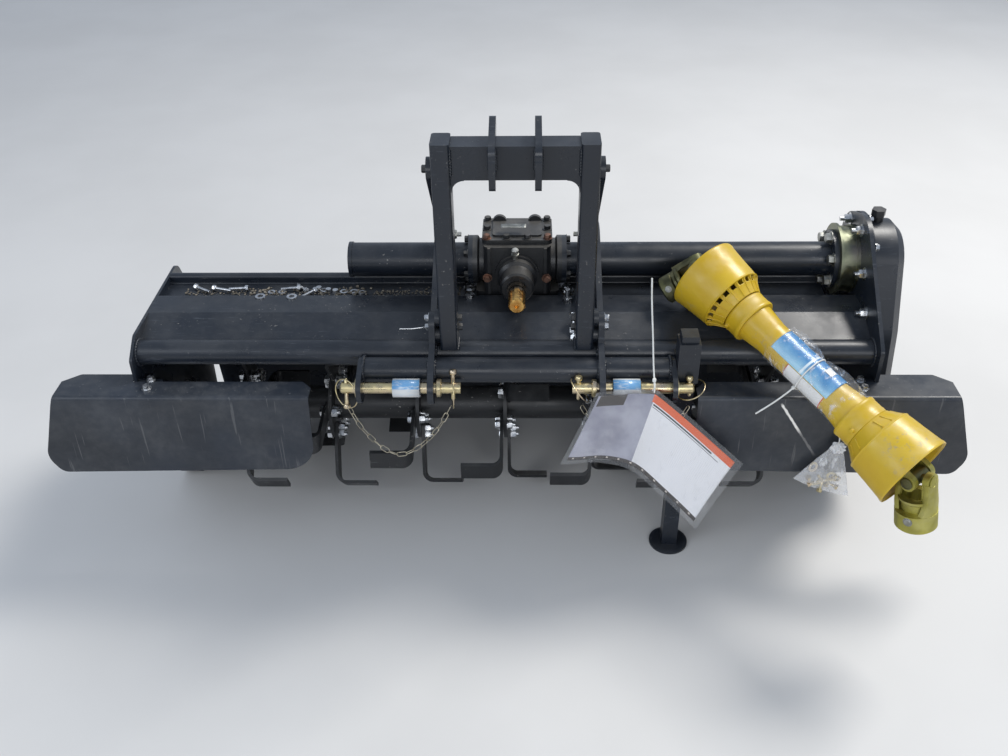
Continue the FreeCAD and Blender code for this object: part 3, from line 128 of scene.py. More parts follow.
def capped(points):
    """A grid with a row more at each end: the mean of its first row and of its last, so that it ends
    closed.
    """
    first = np.broadcast_to(points[:1].mean(1, keepdims=True), points[:1].shape)
    last = np.broadcast_to(points[-1:].mean(1, keepdims=True), points[-1:].shape)
    return np.concatenate((first, points, last))


def lathe(profile, at, way, steps=48, start=0.0, sweep=TURN):
    """Surface of revolution: each (radius, height) of the profile turns about the line from at along way.
    Point = at + height * way + radius * (cos, sin).
    """
    a, b, way = (v[0] for v in square_to(way))
    profile = np.asarray(profile, float)
    angle = start + np.linspace(0.0, sweep, steps, endpoint=sweep < TURN - 1e-6)
    ring = np.cos(angle)[:, None] * a + np.sin(angle)[:, None] * b
    return np.asarray(at) + profile[:, 1, None, None] * way + profile[:, 0, None, None] * ring


def hose(path, radius, steps=10, up=Z, closed=False):
    """Round tube: at each point of the path stands a circle square to the path's slope. The radius may
    change along the path.
    """
    path = np.asarray(path, float)
    if closed:
        slope = unit(np.roll(path, -1, 0) - np.roll(path, 1, 0))
    else:
        slope = unit(np.gradient(path, axis=0))
    side = unit(np.cross(slope, up))
    over = np.cross(side, slope)
    angle = np.linspace(0.0, TURN, steps, endpoint=False)
    radius = np.broadcast_to(np.asarray(radius, float), len(path))[:, None, None]
    ring = np.cos(angle)[None, :, None] * side[:, None] + np.sin(angle)[None, :, None] * over[:, None]
    return path[:, None] + radius * ring


def weave(rows, columns, wrap_rows=False, wrap_columns=False):
    """Quads between neighbours of a rows by columns grid of points; a wrapped way joins its last line to
    its first.
    """
    k = np.arange(rows * columns).reshape(rows, columns)
    if wrap_rows:
        k = np.vstack((k, k[:1]))
    if wrap_columns:
        k = np.hstack((k, k[:, :1]))
    return np.stack((k[:-1, :-1], k[1:, :-1], k[1:, 1:], k[:-1, 1:]), -1).reshape(-1, 4)


class Skin:
    """Points and quads gathered from grids and repeated forms, ready to be made one mesh."""

    def __init__(self):
        self.points = []
        self.faces = []
        self.maps = []
        self.count = 0

    def take(self, points, faces, uv=None):
        points = np.asarray(points, float).reshape(-1, 3)
        self.points.append(points)
        self.faces.append(np.asarray(faces) + self.count)
        self.maps.append(np.zeros((len(points), 2)) if uv is None else np.asarray(uv, float).reshape(-1, 2))
        self.count += len(points)

    def grid(self, points, wrap_rows=False, wrap_columns=False, ends=False, keep=None):
        """A grid of points; ends closes the first and last row onto their middles, and keep leaves out
        quads.
        """
        if ends:
            points = capped(points)
        rows, columns = points.shape[:2]
        faces = weave(rows, columns, wrap_rows, wrap_columns)
        if keep is not None:
            faces = faces[np.asarray(keep).reshape(-1)]
        u, v = spread(np.linspace(0, 1, rows), np.linspace(0, 1, columns))
        self.take(points, faces, np.stack((u, v), -1))

    def turned(self, profile, at, way, steps=48, ring=False, keep=None):
        """A profile turned once about a line; ring joins the profile's end to its start."""
        self.grid(lathe(profile, at, way, steps), ring, True, keep=keep)

    def tube(self, path, radius, steps, up):
        """A round tube along a path, closed at both ends."""
        self.grid(hose(path, radius, steps, up), wrap_columns=True, ends=True)

    def hoop(self, path, radius, steps, up):
        """A round tube along a path that comes back to its start."""
        self.grid(hose(path, radius, steps, up, True), True, True)

    def copies(self, form, at, way, turn=0.0, size=1.0):
        """Copies of a form that stands on the XY plane, one at each place, standing along way and turned
        about it. Corner = at + x * a + y * b + z * way, for all copies in one array.
        """
        points, faces = form
        at = np.atleast_2d(np.asarray(at, float))
        a, b, way = square_to(np.broadcast_to(np.asarray(way, float), at.shape))
        turn = np.broadcast_to(np.asarray(turn, float), len(at))[:, None]
        size = np.broadcast_to(np.asarray(size, float), len(at))[:, None, None]
        c, s = np.cos(turn), np.sin(turn)
        axes = np.stack((a * c + b * s, b * c - a * s, way), 1)
        made = at[:, None] + np.einsum("nk,mkj->mnj", points, axes) * size
        step = np.arange(len(at))[:, None, None] * len(points)
        self.take(made, (faces[None] + step).reshape(-1, faces.shape[-1]))


def make_piece(name, skin, body, finish, smooth=35.0, wall=0.0, turn_out=True):
    """One mesh object from a skin, its doubles merged and its faces turned outwards, riding on a body."""
    points = np.concatenate(skin.points)
    faces = np.concatenate(skin.faces)
    uv = np.concatenate(skin.maps)
    mesh = bpy.data.meshes.new(name)
    mesh.from_pydata(points.tolist(), [], faces.tolist())
    layer = mesh.uv_layers.new(name="UVMap")
    corner = np.zeros(len(mesh.loops), np.int32)
    mesh.loops.foreach_get("vertex_index", corner)
    layer.data.foreach_set("uv", uv[corner].astype(np.float32).ravel())
    form = bmesh.new()
    form.from_mesh(mesh)
    bmesh.ops.remove_doubles(form, verts=form.verts, dist=2e-6)
    bmesh.ops.dissolve_degenerate(form, edges=form.edges, dist=1e-7)
    if turn_out:
        bmesh.ops.recalc_face_normals(form, faces=form.faces)
    form.to_mesh(mesh)
    form.free()
    mesh.shade_smooth()
    mesh.set_sharp_from_angle(angle=math.radians(smooth))
    piece = bpy.data.objects.new(name, mesh)
    bpy.context.scene.collection.objects.link(piece)
    mesh.materials.append(FINISHES[finish])
    if wall:
        thick = piece.modifiers.new("wall", "SOLIDIFY")
        thick.thickness = wall
        thick.offset = -1.0
    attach(piece, body)
    return piece


class Finish:
    """A material and its shader, with short calls that add node layers to it."""

    def __init__(self, name, rough=0.5, metal=0.0, coat=0.0, coat_rough=0.1):
        self.made = bpy.data.materials.new(name)
        self.made.use_nodes = True
        self.tree = self.made.node_tree
        self.shader = self.tree.nodes["Principled BSDF"]
        self.shader.inputs["Roughness"].default_value = rough
        self.shader.inputs["Metallic"].default_value = metal
        self.shader.inputs["Coat Weight"].default_value = coat
        self.shader.inputs["Coat Roughness"].default_value = coat_rough
        self.place = self.node("ShaderNodeTexCoord").outputs["Object"]

    def node(self, kind, **values):
        made = self.tree.nodes.new(kind)
        for key, value in values.items():
            setattr(made, key, value)
        return made

    def join(self, a, b):
        self.tree.links.new(a, b)

    def put(self, socket, value):
        if isinstance(value, bpy.types.NodeSocket):
            self.join(value, socket)
        elif isinstance(value, tuple) and len(value) == 3 and socket.type == "RGBA":
            socket.default_value = (*value, 1.0)
        else:
            socket.default_value = value

    def noise(self, scale, detail=4.0, rough=0.55, stretch=(1.0, 1.0, 1.0), turn=(0.0, 0.0, 0.0)):
        """Cloudy value from 0 to 1 over the piece's own coordinates, drawn out along an axis by stretch."""
        mapping = self.node("ShaderNodeMapping")
        self.join(self.place, mapping.inputs["Vector"])
        mapping.inputs["Scale"].default_value = stretch
        mapping.inputs["Rotation"].default_value = turn
        made = self.node("ShaderNodeTexNoise")
        self.join(mapping.outputs["Vector"], made.inputs["Vector"])
        made.inputs["Scale"].default_value = scale
        made.inputs["Detail"].default_value = detail
        made.inputs["Roughness"].default_value = rough
        return made.outputs["Fac"]

    def ramp(self, value, low, high, a=0.0, b=1.0):
        """Value turned smoothly from a at low to b at high, and held beyond them."""
        made = self.node("ShaderNodeMapRange", interpolation_type="SMOOTHSTEP")
        self.join(value, made.inputs["Value"])
        made.inputs["From Min"].default_value = low
        made.inputs["From Max"].default_value = high
        made.inputs["To Min"].default_value = a
        made.inputs["To Max"].default_value = b
        return made.outputs["Result"]

    def calc(self, way, a, b=0.0):
        """Result of one arithmetic node."""
        made = self.node("ShaderNodeMath", operation=way)
        self.put(made.inputs[0], a)
        self.put(made.inputs[1], b)
        return made.outputs[0]

    def times(self, a, b):
        return self.calc("MULTIPLY", a, b)

    def plus(self, a, b):
        return self.calc("ADD", a, b)

    def minus(self, a, b):
        return self.calc("SUBTRACT", a, b)

    def apart(self, a, b):
        """Distance between two values, the larger less the smaller."""
        return self.calc("ABSOLUTE", self.minus(a, b))

    def split(self, vector):
        """The X, Y and Z of a vector."""
        made = self.node("ShaderNodeSeparateXYZ")
        self.join(vector, made.inputs[0])
        return made.outputs["X"], made.outputs["Y"], made.outputs["Z"]

    def blend(self, share, a, b):
        """Colour a where share is 0, turning to b where it is 1."""
        made = self.node("ShaderNodeMix", data_type="RGBA")
        self.put(made.inputs[0], share)
        self.put(made.inputs[6], a)
        self.put(made.inputs[7], b)
        return made.outputs[2]

    def upward(self):
        """How far the surface faces the sky, from 0 to 1."""
        way = self.node("ShaderNodeNewGeometry").outputs["Normal"]
        return self.calc("MAXIMUM", self.split(way)[2])

    def colour(self, value):
        self.put(self.shader.inputs["Base Color"], value)

    def rough(self, value):
        self.put(self.shader.inputs["Roughness"], value)

    def bump(self, height, depth, strength=1.0):
        """Relief of the given depth in metres, over any that the shader has already."""
        made = self.node("ShaderNodeBump")
        self.join(height, made.inputs["Height"])
        made.inputs["Distance"].default_value = depth
        made.inputs["Strength"].default_value = strength
        target = self.shader.inputs["Normal"]
        if target.links:
            self.join(target.links[0].from_socket, made.inputs["Normal"])
        self.join(made.outputs["Normal"], target)


def paint_finish(name, colour, dust, dust_tone, gloss=0.32, grain=0.00004, marks=0.5):
    """Sprayed paint: a slow change of tone, settled dust on what faces up, drawn-out scuffs, small chips
    and a fine peel.
    """
    f = Finish(name, gloss, 0.0, 0.10, 0.36)
    dark = tuple(c * 0.72 for c in colour)
    pale = tuple(min(1.0, c * 2.0 + 0.05) for c in colour)
    tone = f.blend(f.ramp(f.noise(5.0, 6.0), 0.35, 0.7), dark, colour)
    scuff = f.noise(26.0, 5.0, 0.6, (1.0, 14.0, 6.0), (0.0, 0.0, 0.5))
    scuffs = f.times(f.ramp(scuff, 0.60, 0.68), f.ramp(f.noise(5.0, 3.0), 0.44, 0.60, 0.0, marks))
    tone = f.blend(scuffs, tone, pale)
    chips = f.times(
        f.ramp(f.noise(170.0, 3.0), 0.66, 0.72), f.ramp(f.noise(9.0, 3.0), 0.46, 0.60, 0.0, marks),
    )
    tone = f.blend(chips, tone, (0.36, 0.34, 0.31))
    settle = f.times(f.ramp(f.upward(), 0.25, 0.95), f.ramp(f.noise(11.0, 8.0, 0.7), 0.36, 0.72, 0.15, 1.0))
    film = f.times(settle, dust)
    specks = f.times(f.ramp(f.noise(620.0, 2.0), 0.60, 0.70), f.ramp(film, 0.0, 0.5, 0.1, 0.9))
    f.colour(f.blend(f.plus(film, f.times(specks, 0.35)), tone, dust_tone))
    f.rough(f.plus(f.ramp(f.noise(14.0, 6.0), 0.3, 0.75, gloss - 0.08, gloss + 0.12), f.times(film, 0.45)))
    f.bump(f.noise(420.0, 2.0), grain)
    return f.made


def cast_finish(name, colour, grain, gloss, dust):
    """Painted casting: a coarse sand skin under the paint, with dust on top."""
    f = Finish(name, gloss, 0.0, 0.25, 0.25)
    tone = f.blend(f.ramp(f.noise(8.0, 6.0), 0.35, 0.7), tuple(c * 0.7 for c in colour), colour)
    film = f.times(f.ramp(f.upward(), 0.3, 0.95), f.ramp(f.noise(18.0, 8.0, 0.7), 0.38, 0.72, 0.1, dust))
    f.colour(f.blend(film, tone, (0.42, 0.39, 0.34)))
    f.rough(f.ramp(f.noise(30.0, 5.0), 0.3, 0.7, gloss - 0.05, gloss + 0.2))
    f.bump(f.noise(90.0, 6.0, 0.6), grain)
    return f.made


def metal_finish(name, colour, shade, rough=0.32, scale=60.0, grain=0.00003, tint=None, share=0.6):
    """Plated metal: patches of brighter and duller plate, a hint of another tint, and a fine brushed
    relief.
    """
    f = Finish(name, rough, 1.0)
    tone = f.blend(f.ramp(f.noise(scale, 5.0), 0.35, 0.68), shade, colour)
    if tint:
        tone = f.blend(f.ramp(f.noise(scale * 0.45, 3.0), 0.45, 0.65, 0.0, share), tone, tint)
    f.colour(tone)
    f.rough(f.ramp(f.noise(scale * 2.0, 4.0), 0.3, 0.7, rough - 0.08, rough + 0.16))
    f.bump(f.noise(scale * 9.0, 3.0), grain)
    return f.made


def shaft_finish():
    """Oiled shaft: amber rust-proof oil on the last centimetres of the splines, and the steel further in
    painted near-black as painted shade of the gearbox housing.
    """
    f = Finish("oiled_shaft", 0.28, 1.0)
    inner = f.split(f.place)[1]
    amber = f.blend(f.ramp(f.noise(60.0, 5.0), 0.35, 0.68), (0.42, 0.20, 0.05), (0.80, 0.50, 0.16))
    # Near-black steel towards the housing: painted shade cast by the gearbox, not the steel's own colour.
    shaded_steel = f.blend(f.ramp(f.noise(90.0, 4.0), 0.35, 0.68), (0.05, 0.045, 0.04), (0.16, 0.14, 0.12))
    inward_shade = f.ramp(f.plus(inner, f.times(f.noise(120.0, 4.0), 0.010)), 0.024, 0.036)
    f.colour(f.blend(inward_shade, amber, shaded_steel))
    f.rough(f.ramp(f.noise(120.0, 4.0), 0.3, 0.7, 0.2, 0.42))
    f.bump(f.noise(540.0, 3.0), 0.00002)
    return f.made


def guard_finish(name, colour, dirt):
    """Moulded polyethylene: a soft sheen, faint flow marks, and grey scuffs rubbed into the raised edges.
    """
    f = Finish(name, 0.36)
    f.shader.inputs["Subsurface Weight"].default_value = 0.06
    f.shader.inputs["Subsurface Radius"].default_value = (0.006, 0.004, 0.001)
    f.shader.inputs["Subsurface Scale"].default_value = 1.0
    deep = (colour[0] * 0.86, colour[1] * 0.80, colour[2] * 0.6)
    tone = f.blend(f.ramp(f.noise(9.0, 6.0), 0.3, 0.72), deep, colour)
    rubbed = f.times(
        f.ramp(f.noise(70.0, 8.0, 0.7), 0.52, 0.66), f.ramp(f.noise(7.0, 3.0), 0.5, 0.64, 0.0, dirt),
    )
    tone = f.blend(rubbed, tone, (0.30, 0.27, 0.20))
    film = f.times(f.ramp(f.upward(), 0.4, 1.0), f.ramp(f.noise(20.0, 8.0), 0.4, 0.7, 0.0, 0.22))
    f.colour(f.blend(film, tone, (0.60, 0.53, 0.40)))
    f.rough(f.ramp(f.noise(40.0, 4.0), 0.3, 0.7, 0.28, 0.46))
    f.bump(f.noise(240.0, 3.0), 0.00005)
    return f.made


def paper_finish(name, gloss=0.38):
    """Start of a printed sheet's finish: a thin clear coat, and the sheet's own u and v."""
    f = Finish(name, gloss, 0.0, 0.4, 0.12)
    f.u, f.v = f.split(f.node("ShaderNodeTexCoord").outputs["UV"])[:2]
    return f


def leaf_finish():
    """Cover of the wound papers: blue, paling towards one side, under faint creases."""
    f = paper_finish("blue_leaf")
    side = f.plus(f.v, f.times(f.noise(30.0, 3.0), 0.25))
    tone = f.blend(f.ramp(side, 0.86, 1.12), (0.004, 0.19, 0.46), (0.30, 0.58, 0.74))
    band = f.ramp(f.apart(f.u, 0.52), 0.012, 0.020, 1.0, 0.0)
    f.colour(f.blend(band, tone, (0.70, 0.80, 0.84)))
    f.bump(f.noise(60.0, 4.0, 0.6, (1.0, 1.0, 2.5)), 0.0012, 0.5)
    return f.made


def strip_finish():
    """Plain white strip with a red edge at each end."""
    f = paper_finish("white_strip")
    end = f.ramp(f.apart(f.u, 0.5), 0.478, 0.482)
    tone = f.blend(
        f.ramp(f.noise(70.0, 4.0), 0.45, 0.75, 0.0, 0.35), (0.80, 0.79, 0.76), (0.60, 0.56, 0.48),
    )
    f.colour(f.blend(end, tone, (0.62, 0.07, 0.03)))
    f.bump(f.noise(120.0, 3.0), 0.0002)
    return f.made


def card_finish():
    """Blank card: a white half and, across the fold, a grey half that is painted shade where that half
    faces away from the light, a dark strip at the grey half's head, an orange band along the white half's
    upper edge with dark rules under it, and a dark foot with pale dots.
    """
    f = paper_finish("blank_card", 0.30)
    u, v = f.u, f.v
    right = f.ramp(u, 0.498, 0.502)
    # Grey half: painted shade on the left half, which faces away from the light; the card itself is white.
    shaded_half = f.blend(f.ramp(f.noise(14.0, 5.0), 0.35, 0.7), (0.24, 0.24, 0.30), (0.40, 0.40, 0.46))
    tone = f.blend(right, shaded_half, (0.86, 0.86, 0.88))

    def stripe(value, low, high):
        return f.times(
            f.ramp(value, low - 0.003, low + 0.003), f.ramp(value, high - 0.003, high + 0.003, 1.0, 0.0),
        )

    tone = f.blend(f.times(stripe(v, -0.1, 0.155), stripe(u, 0.02, 0.26)), tone, (0.030, 0.022, 0.018))
    tone = f.blend(f.times(stripe(v, -0.1, 0.10), stripe(u, 0.492, 1.1)), tone, (0.78, 0.135, 0.035))
    for low, high, end in ((0.114, 0.136, 0.88), (0.152, 0.160, 0.93)):
        tone = f.blend(f.times(stripe(v, low, high), stripe(u, 0.505, end)), tone, (0.02, 0.02, 0.025))
    tone = f.blend(stripe(v, 0.945, 1.1), tone, (0.035, 0.026, 0.022))
    beat = f.calc("FRACT", f.times(u, 11.0))
    tone = f.blend(f.times(stripe(v, 0.958, 0.978), stripe(beat, 0.40, 0.55)), tone, (0.62, 0.56, 0.50))
    grime = f.ramp(f.noise(22.0, 6.0, 0.65), 0.56, 0.84, 0.0, 0.22)
    f.colour(f.blend(grime, tone, (0.46, 0.44, 0.42)))
    f.bump(f.noise(30.0, 3.0), 0.0008, 0.5)
    return f.made


def label_finish():
    """Blank pale wrap on the pin bushings, its upper front painted blue as a painted reflection of the sky,
    scuffed by handling.
    """
    f = paper_finish("pale_label_sky_reflection", 0.34)
    y, z = f.split(f.place)[1:]
    # Blue on the upper front, which faces the sky: painted sky reflection; the wrap itself is pale.
    height = f.ramp(z, PIN[2] + 0.0070, PIN[2] + 0.0095)
    front = f.ramp(y, PIN[1] + 0.0005, PIN[1] + 0.0020, 1.0, 0.0)
    tone = f.blend(f.times(height, front), (0.70, 0.71, 0.70), (0.16, 0.38, 0.66))
    worn = f.ramp(f.noise(240.0, 3.0, 0.6, (0.3, 1.0, 1.0)), 0.50, 0.66, 0.0, 0.75)
    f.colour(f.blend(worn, tone, (0.60, 0.68, 0.74)))
    f.bump(f.noise(300.0, 2.0), 0.00008)
    return f.made


def soil_finish():
    """Dry crumbs of earth, each place a little lighter or darker than the next."""
    f = Finish("soil", 0.9)
    f.colour(f.blend(f.ramp(f.noise(120.0, 4.0), 0.35, 0.7), (0.10, 0.085, 0.065), (0.27, 0.24, 0.19)))
    f.bump(f.noise(700.0, 3.0), 0.0006)
    return f.made


# Scratch on the right front guard: its start, and its direction east and down
SCRATCH_X = 0.549
SCRATCH_Z = 0.415
SCRATCH_EAST = 0.545
SCRATCH_DOWN = 0.839


def skirt_finish(paint, dust):
    """Frame paint of the front skirts, with patches of dust and fine grey scratches, and one long bright
    scratch across the right one.
    The scratch is the distance from a slanting line in front view, thinned and broken by noise.
    """
    f = Finish("skirt_paint", 0.44, 0.0, 0.05, 0.4)
    x, _, z = f.split(f.place)
    east, rise = f.minus(x, SCRATCH_X), f.minus(z, SCRATCH_Z)
    tone = f.blend(
        f.ramp(f.noise(4.0, 6.0), 0.35, 0.7), tuple(c * 0.8 for c in paint), tuple(c * 1.5 for c in paint),
    )
    film = f.times(
        f.ramp(f.noise(9.0, 8.0, 0.7), 0.34, 0.72, 0.02, 0.22),
        f.ramp(f.noise(60.0, 4.0), 0.3, 0.7, 0.5, 1.0),
    )
    tone = f.blend(film, tone, dust)
    fine = f.ramp(f.noise(160.0, 2.0, 0.5, (1.0, 1.0, 0.05), (0.0, 0.7, 0.0)), 0.66, 0.72, 0.0, 0.35)
    tone = f.blend(fine, tone, (0.17, 0.17, 0.17))
    across = f.plus(f.times(east, SCRATCH_DOWN), f.times(rise, SCRATCH_EAST))
    along = f.minus(f.times(east, SCRATCH_EAST), f.times(rise, SCRATCH_DOWN))
    line = f.ramp(
        f.plus(f.calc("ABSOLUTE", across), f.times(f.noise(90.0, 3.0), 0.004)), 0.0032, 0.0052, 1.0, 0.0,
    )
    held = f.times(f.ramp(along, 0.0, 0.01), f.ramp(along, 0.070, 0.100, 1.0, 0.16))
    tone = f.blend(
        f.times(line, f.times(held, f.ramp(along, 0.145, 0.165, 1.0, 0.0))), tone, (0.86, 0.84, 0.80),
    )
    f.colour(tone)
    f.rough(f.plus(f.ramp(f.noise(14.0, 6.0), 0.3, 0.75, 0.28, 0.46), film))
    f.bump(f.noise(420.0, 2.0), 0.00004)
    return f.made


def film_finish(name, cover, milk=0.38):
    """Clear film: mostly see-through, with a milky cast and sharp creases that catch the light."""
    f = Finish(name, 0.10)
    f.shader.inputs["Base Color"].default_value = (0.90, 0.91, 0.93, 1.0)
    f.shader.inputs["Specular IOR Level"].default_value = 1.0
    crease = f.noise(70.0, 4.0, 0.6, (1.0, 1.0, 0.4))
    f.put(f.shader.inputs["Alpha"], f.ramp(crease, 0.54, 0.70, cover, min(1.0, cover + milk)))
    f.bump(crease, 0.0040, 0.8)
    return f.made


def nylon_finish():
    """White nylon of the ties, a little yellowed in places."""
    f = Finish("white_nylon", 0.4)
    f.colour(f.blend(f.ramp(f.noise(60.0, 4.0), 0.35, 0.7), (0.70, 0.70, 0.66), (0.82, 0.82, 0.80)))
    f.bump(f.noise(500.0, 2.0, 0.5), 0.00008)
    return f.made


def tint(name, about, colour):
    return FloatVectorProperty(
        name=name, description=about, subtype="COLOR", default=colour, min=0.0, max=1.0,
    )


def length(name, about, size, low, high):
    return FloatProperty(name=name, description=about, default=size, min=low, max=high, unit="LENGTH")


class TillerColours(PropertyGroup):
    """Colours of the finishes."""

    # Frame paint: near-black with a blue cast, partly the paint's own tone and partly painted reflection of
    # the sky.
    paint: tint("Paint", "Frame paint", (0.010, 0.0145, 0.023))
    dust: tint("Dust", "Dust that has settled on the frame", (0.20, 0.20, 0.195))
    guard: tint("Guard", "Driveline guard plastic", (0.64, 0.44, 0.022))
    zinc: tint("Zinc", "Bright plate of bolts and bushings", (0.72, 0.73, 0.74))
    gold: tint("Chromate", "Yellow chromate of pins", (0.74, 0.62, 0.34))


class TillerSizes(PropertyGroup):
    """Sizes of the trim."""

    bolt_across: length("Bolt head", "Width across the flats of a structural bolt", 0.019, 0.01, 0.04)
    weld_r: length("Weld bead", "Radius of a weld bead", 0.0032, 0.001, 0.01)
    chain_wire: length("Chain wire", "Wire radius of the linch pin chains", 0.00085, 0.0004, 0.004)
    chain_links: IntProperty(
        name="Chain links", description="Links of each linch pin chain", default=17, min=6, max=60,
    )


FINISHES = {}


NODE_FINISH = {
    "gearbox_housing": "casting", "gearbox_cover": "casting", "bearing_cap": "casting",
    "rotor": "tine", "pin_bushings": "zinc", "lower_pins": "gold", "filler_plug": "casting",
    "drive_drum": "drum", "input_shaft": "shaft",
    "driveline_tube": "guard", "driveline_cones": "guard", "driveline_collars": "guard",
    # The top fork and the low joint's cross take the yoke chromate darkened as painted shade.
    "yoke_inner_top": "yoke_shaded", "yoke_cross_top": "yoke_shaded", "yoke_outer_top": "yoke_shaded",
    "yoke_inner_low": "yoke", "yoke_cross_low": "yoke_shaded", "yoke_outer_low": "yoke",
    "booklet": "leaf", "hang_tag": "card", "parts_bag": "film", "hinge_rod": "dull_zinc",
    "guard_left": "skirt", "guard_right": "skirt",
}


class TILLER_OT_finishes(Operator):
    """Makes the finishes and puts one on each node of the frame"""

    bl_idname = "tiller.finishes"
    bl_label = "Finishes"

    def execute(self, context):
        c = context.scene.tiller_colours
        paint, dust = tuple(c.paint), tuple(c.dust)
        FINISHES.update({
            "paint": paint_finish("frame_paint", paint, 0.13, dust),
            "skirt": skirt_finish(paint, dust),
            "tine": paint_finish("tine_paint", (0.012, 0.013, 0.015), 0.20, dust, 0.42, 0.00012, 0.9),
            "casting": cast_finish("casting_paint", (0.011, 0.012, 0.014), 0.0005, 0.36, 0.22),
            "zinc": metal_finish("bright_zinc", tuple(c.zinc), (0.48, 0.49, 0.50), 0.26),
            "gold": metal_finish(
                "yellow_chromate", tuple(c.gold), (0.55, 0.47, 0.28), 0.3, 45.0, 0.00003,
                (0.62, 0.50, 0.42),
            ),
            "drum": metal_finish(
                "olive_chromate", (0.30, 0.31, 0.22), (0.16, 0.17, 0.12), 0.38, 30.0, 0.00005,
                (0.36, 0.30, 0.34), 0.4,
            ),
            "shaft": shaft_finish(),
            "yoke": metal_finish(
                "yoke_chromate", (0.50, 0.46, 0.11), (0.36, 0.33, 0.09), 0.50, 40.0, 0.0001,
                (0.60, 0.56, 0.24), 0.5,
            ),
            # Same chromate as the yoke, darkened: painted shade for the top fork and the inner parts.
            "yoke_shaded": metal_finish(
                "yoke_painted_shade", (0.20, 0.20, 0.10), (0.10, 0.10, 0.06), 0.45, 40.0, 0.0001,
                (0.24, 0.22, 0.12), 0.5,
            ),
            "guard": guard_finish("guard_plastic", tuple(c.guard), 0.6),
            "dull_zinc": metal_finish("dull_zinc", (0.50, 0.50, 0.47), (0.26, 0.26, 0.23), 0.42),
            "leaf": leaf_finish(),
            "strip": strip_finish(),
            "card": card_finish(),
            "film": film_finish("clear_film", 0.035, 0.30),
            "laminate": film_finish("laminate_film", 0.06, 0.07),
            "bag": film_finish("bag_film", 0.20),
            "film_bunched": film_finish("bunched_film", 0.85),
            "white_nylon": nylon_finish(),
            # Copper darkened: dull tarnished plate, and darker also as painted shade of the shaded gearbox
            # corners.
            "copper": metal_finish("dull_copper_and_shade", (0.36, 0.20, 0.14), (0.16, 0.10, 0.08), 0.45),
            "chain": metal_finish("chain_wire", (0.66, 0.60, 0.46), (0.42, 0.38, 0.29), 0.34),
            "label": label_finish(),
            "soil": soil_finish(),
        })
        for name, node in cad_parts.items():
            node.data.materials.clear()
            node.data.materials.append(FINISHES[NODE_FINISH.get(name, "paint")])
        return {"FINISHED"}


class TILLER_OT_stage(Operator):
    """Lays the pale floor and sets the soft lights and the camera"""

    bl_idname = "tiller.stage"
    bl_label = "Stage"

    def execute(self, context):
        scene = context.scene
        scene.view_settings.view_transform = "Standard"
        floor_skin = Skin()
        edge = np.linspace(-14.0, 14.0, 3)
        u, v = spread(edge, edge)
        floor_skin.grid(np.stack((u, v, np.zeros_like(u)), -1))
        mesh = bpy.data.meshes.new("floor")
        mesh.from_pydata(
            np.concatenate(floor_skin.points).tolist(), [], np.concatenate(floor_skin.faces).tolist(),
        )
        floor = bpy.data.objects.new("floor", mesh)
        scene.collection.objects.link(floor)
        f = Finish("floor", 0.75)
        f.colour(f.blend(f.ramp(f.noise(1.5, 4.0), 0.3, 0.7), (0.66, 0.65, 0.63), (0.70, 0.69, 0.67)))
        mesh.materials.append(f.made)

        world = bpy.data.worlds.new("sky")
        scene.world = world
        world.use_nodes = True
        back = world.node_tree.nodes["Background"]
        back.inputs["Color"].default_value = (0.70, 0.80, 0.97, 1.0)
        back.inputs["Strength"].default_value = 0.55

        lamps = (
            # name, place, aim, width, height, power, colour
            ("key", (2.6, 1.6, 4.2), (0.0, 0.0, 0.4), 1.6, 1.6, 190.0, (1.0, 0.97, 0.92)),
            ("fill", (-3.4, -2.6, 2.8), (0.0, 0.0, 0.4), 3.0, 2.0, 60.0, (0.88, 0.93, 1.0)),
            ("front", (0.8, -4.2, 2.2), (0.0, 0.0, 0.4), 3.0, 1.6, 45.0, (1.0, 1.0, 1.0)),
        )
        for name, place, aim, wide, high, power, colour in lamps:
            lamp = bpy.data.lights.new(name, "AREA")
            lamp.shape = "RECTANGLE"
            lamp.size = wide
            lamp.size_y = high
            lamp.energy = power
            lamp.color = colour
            held = bpy.data.objects.new(name, lamp)
            held.location = place
            held.rotation_euler = (Vector(aim) - Vector(place)).to_track_quat("-Z", "Y").to_euler()
            scene.collection.objects.link(held)

        view = bpy.data.cameras.new("photo_view")
        view.sensor_width = 36.0
        view.lens = 36.43
        camera = bpy.data.objects.new("photo_view", view)
        right = Vector(CAMERA_RIGHT)
        ahead = Vector(CAMERA_AHEAD)
        above = right.cross(ahead)
        camera.matrix_world = Matrix((
            (right.x, above.x, -ahead.x, CAMERA_AT[0]),
            (right.y, above.y, -ahead.y, CAMERA_AT[1]),
            (right.z, above.z, -ahead.z, CAMERA_AT[2]),
            (0.0, 0.0, 0.0, 1.0),
        ))
        scene.collection.objects.link(camera)
        scene.camera = camera
        return {"FINISHED"}


def hexagon(angle, across):
    """Radius of a hexagon at an angle: half its width over the cosine of the angle from the nearest flat's
    middle.
    """
    return across / 2.0 / np.cos((angle + TURN / 12.0) % (TURN / 6.0) - TURN / 12.0)


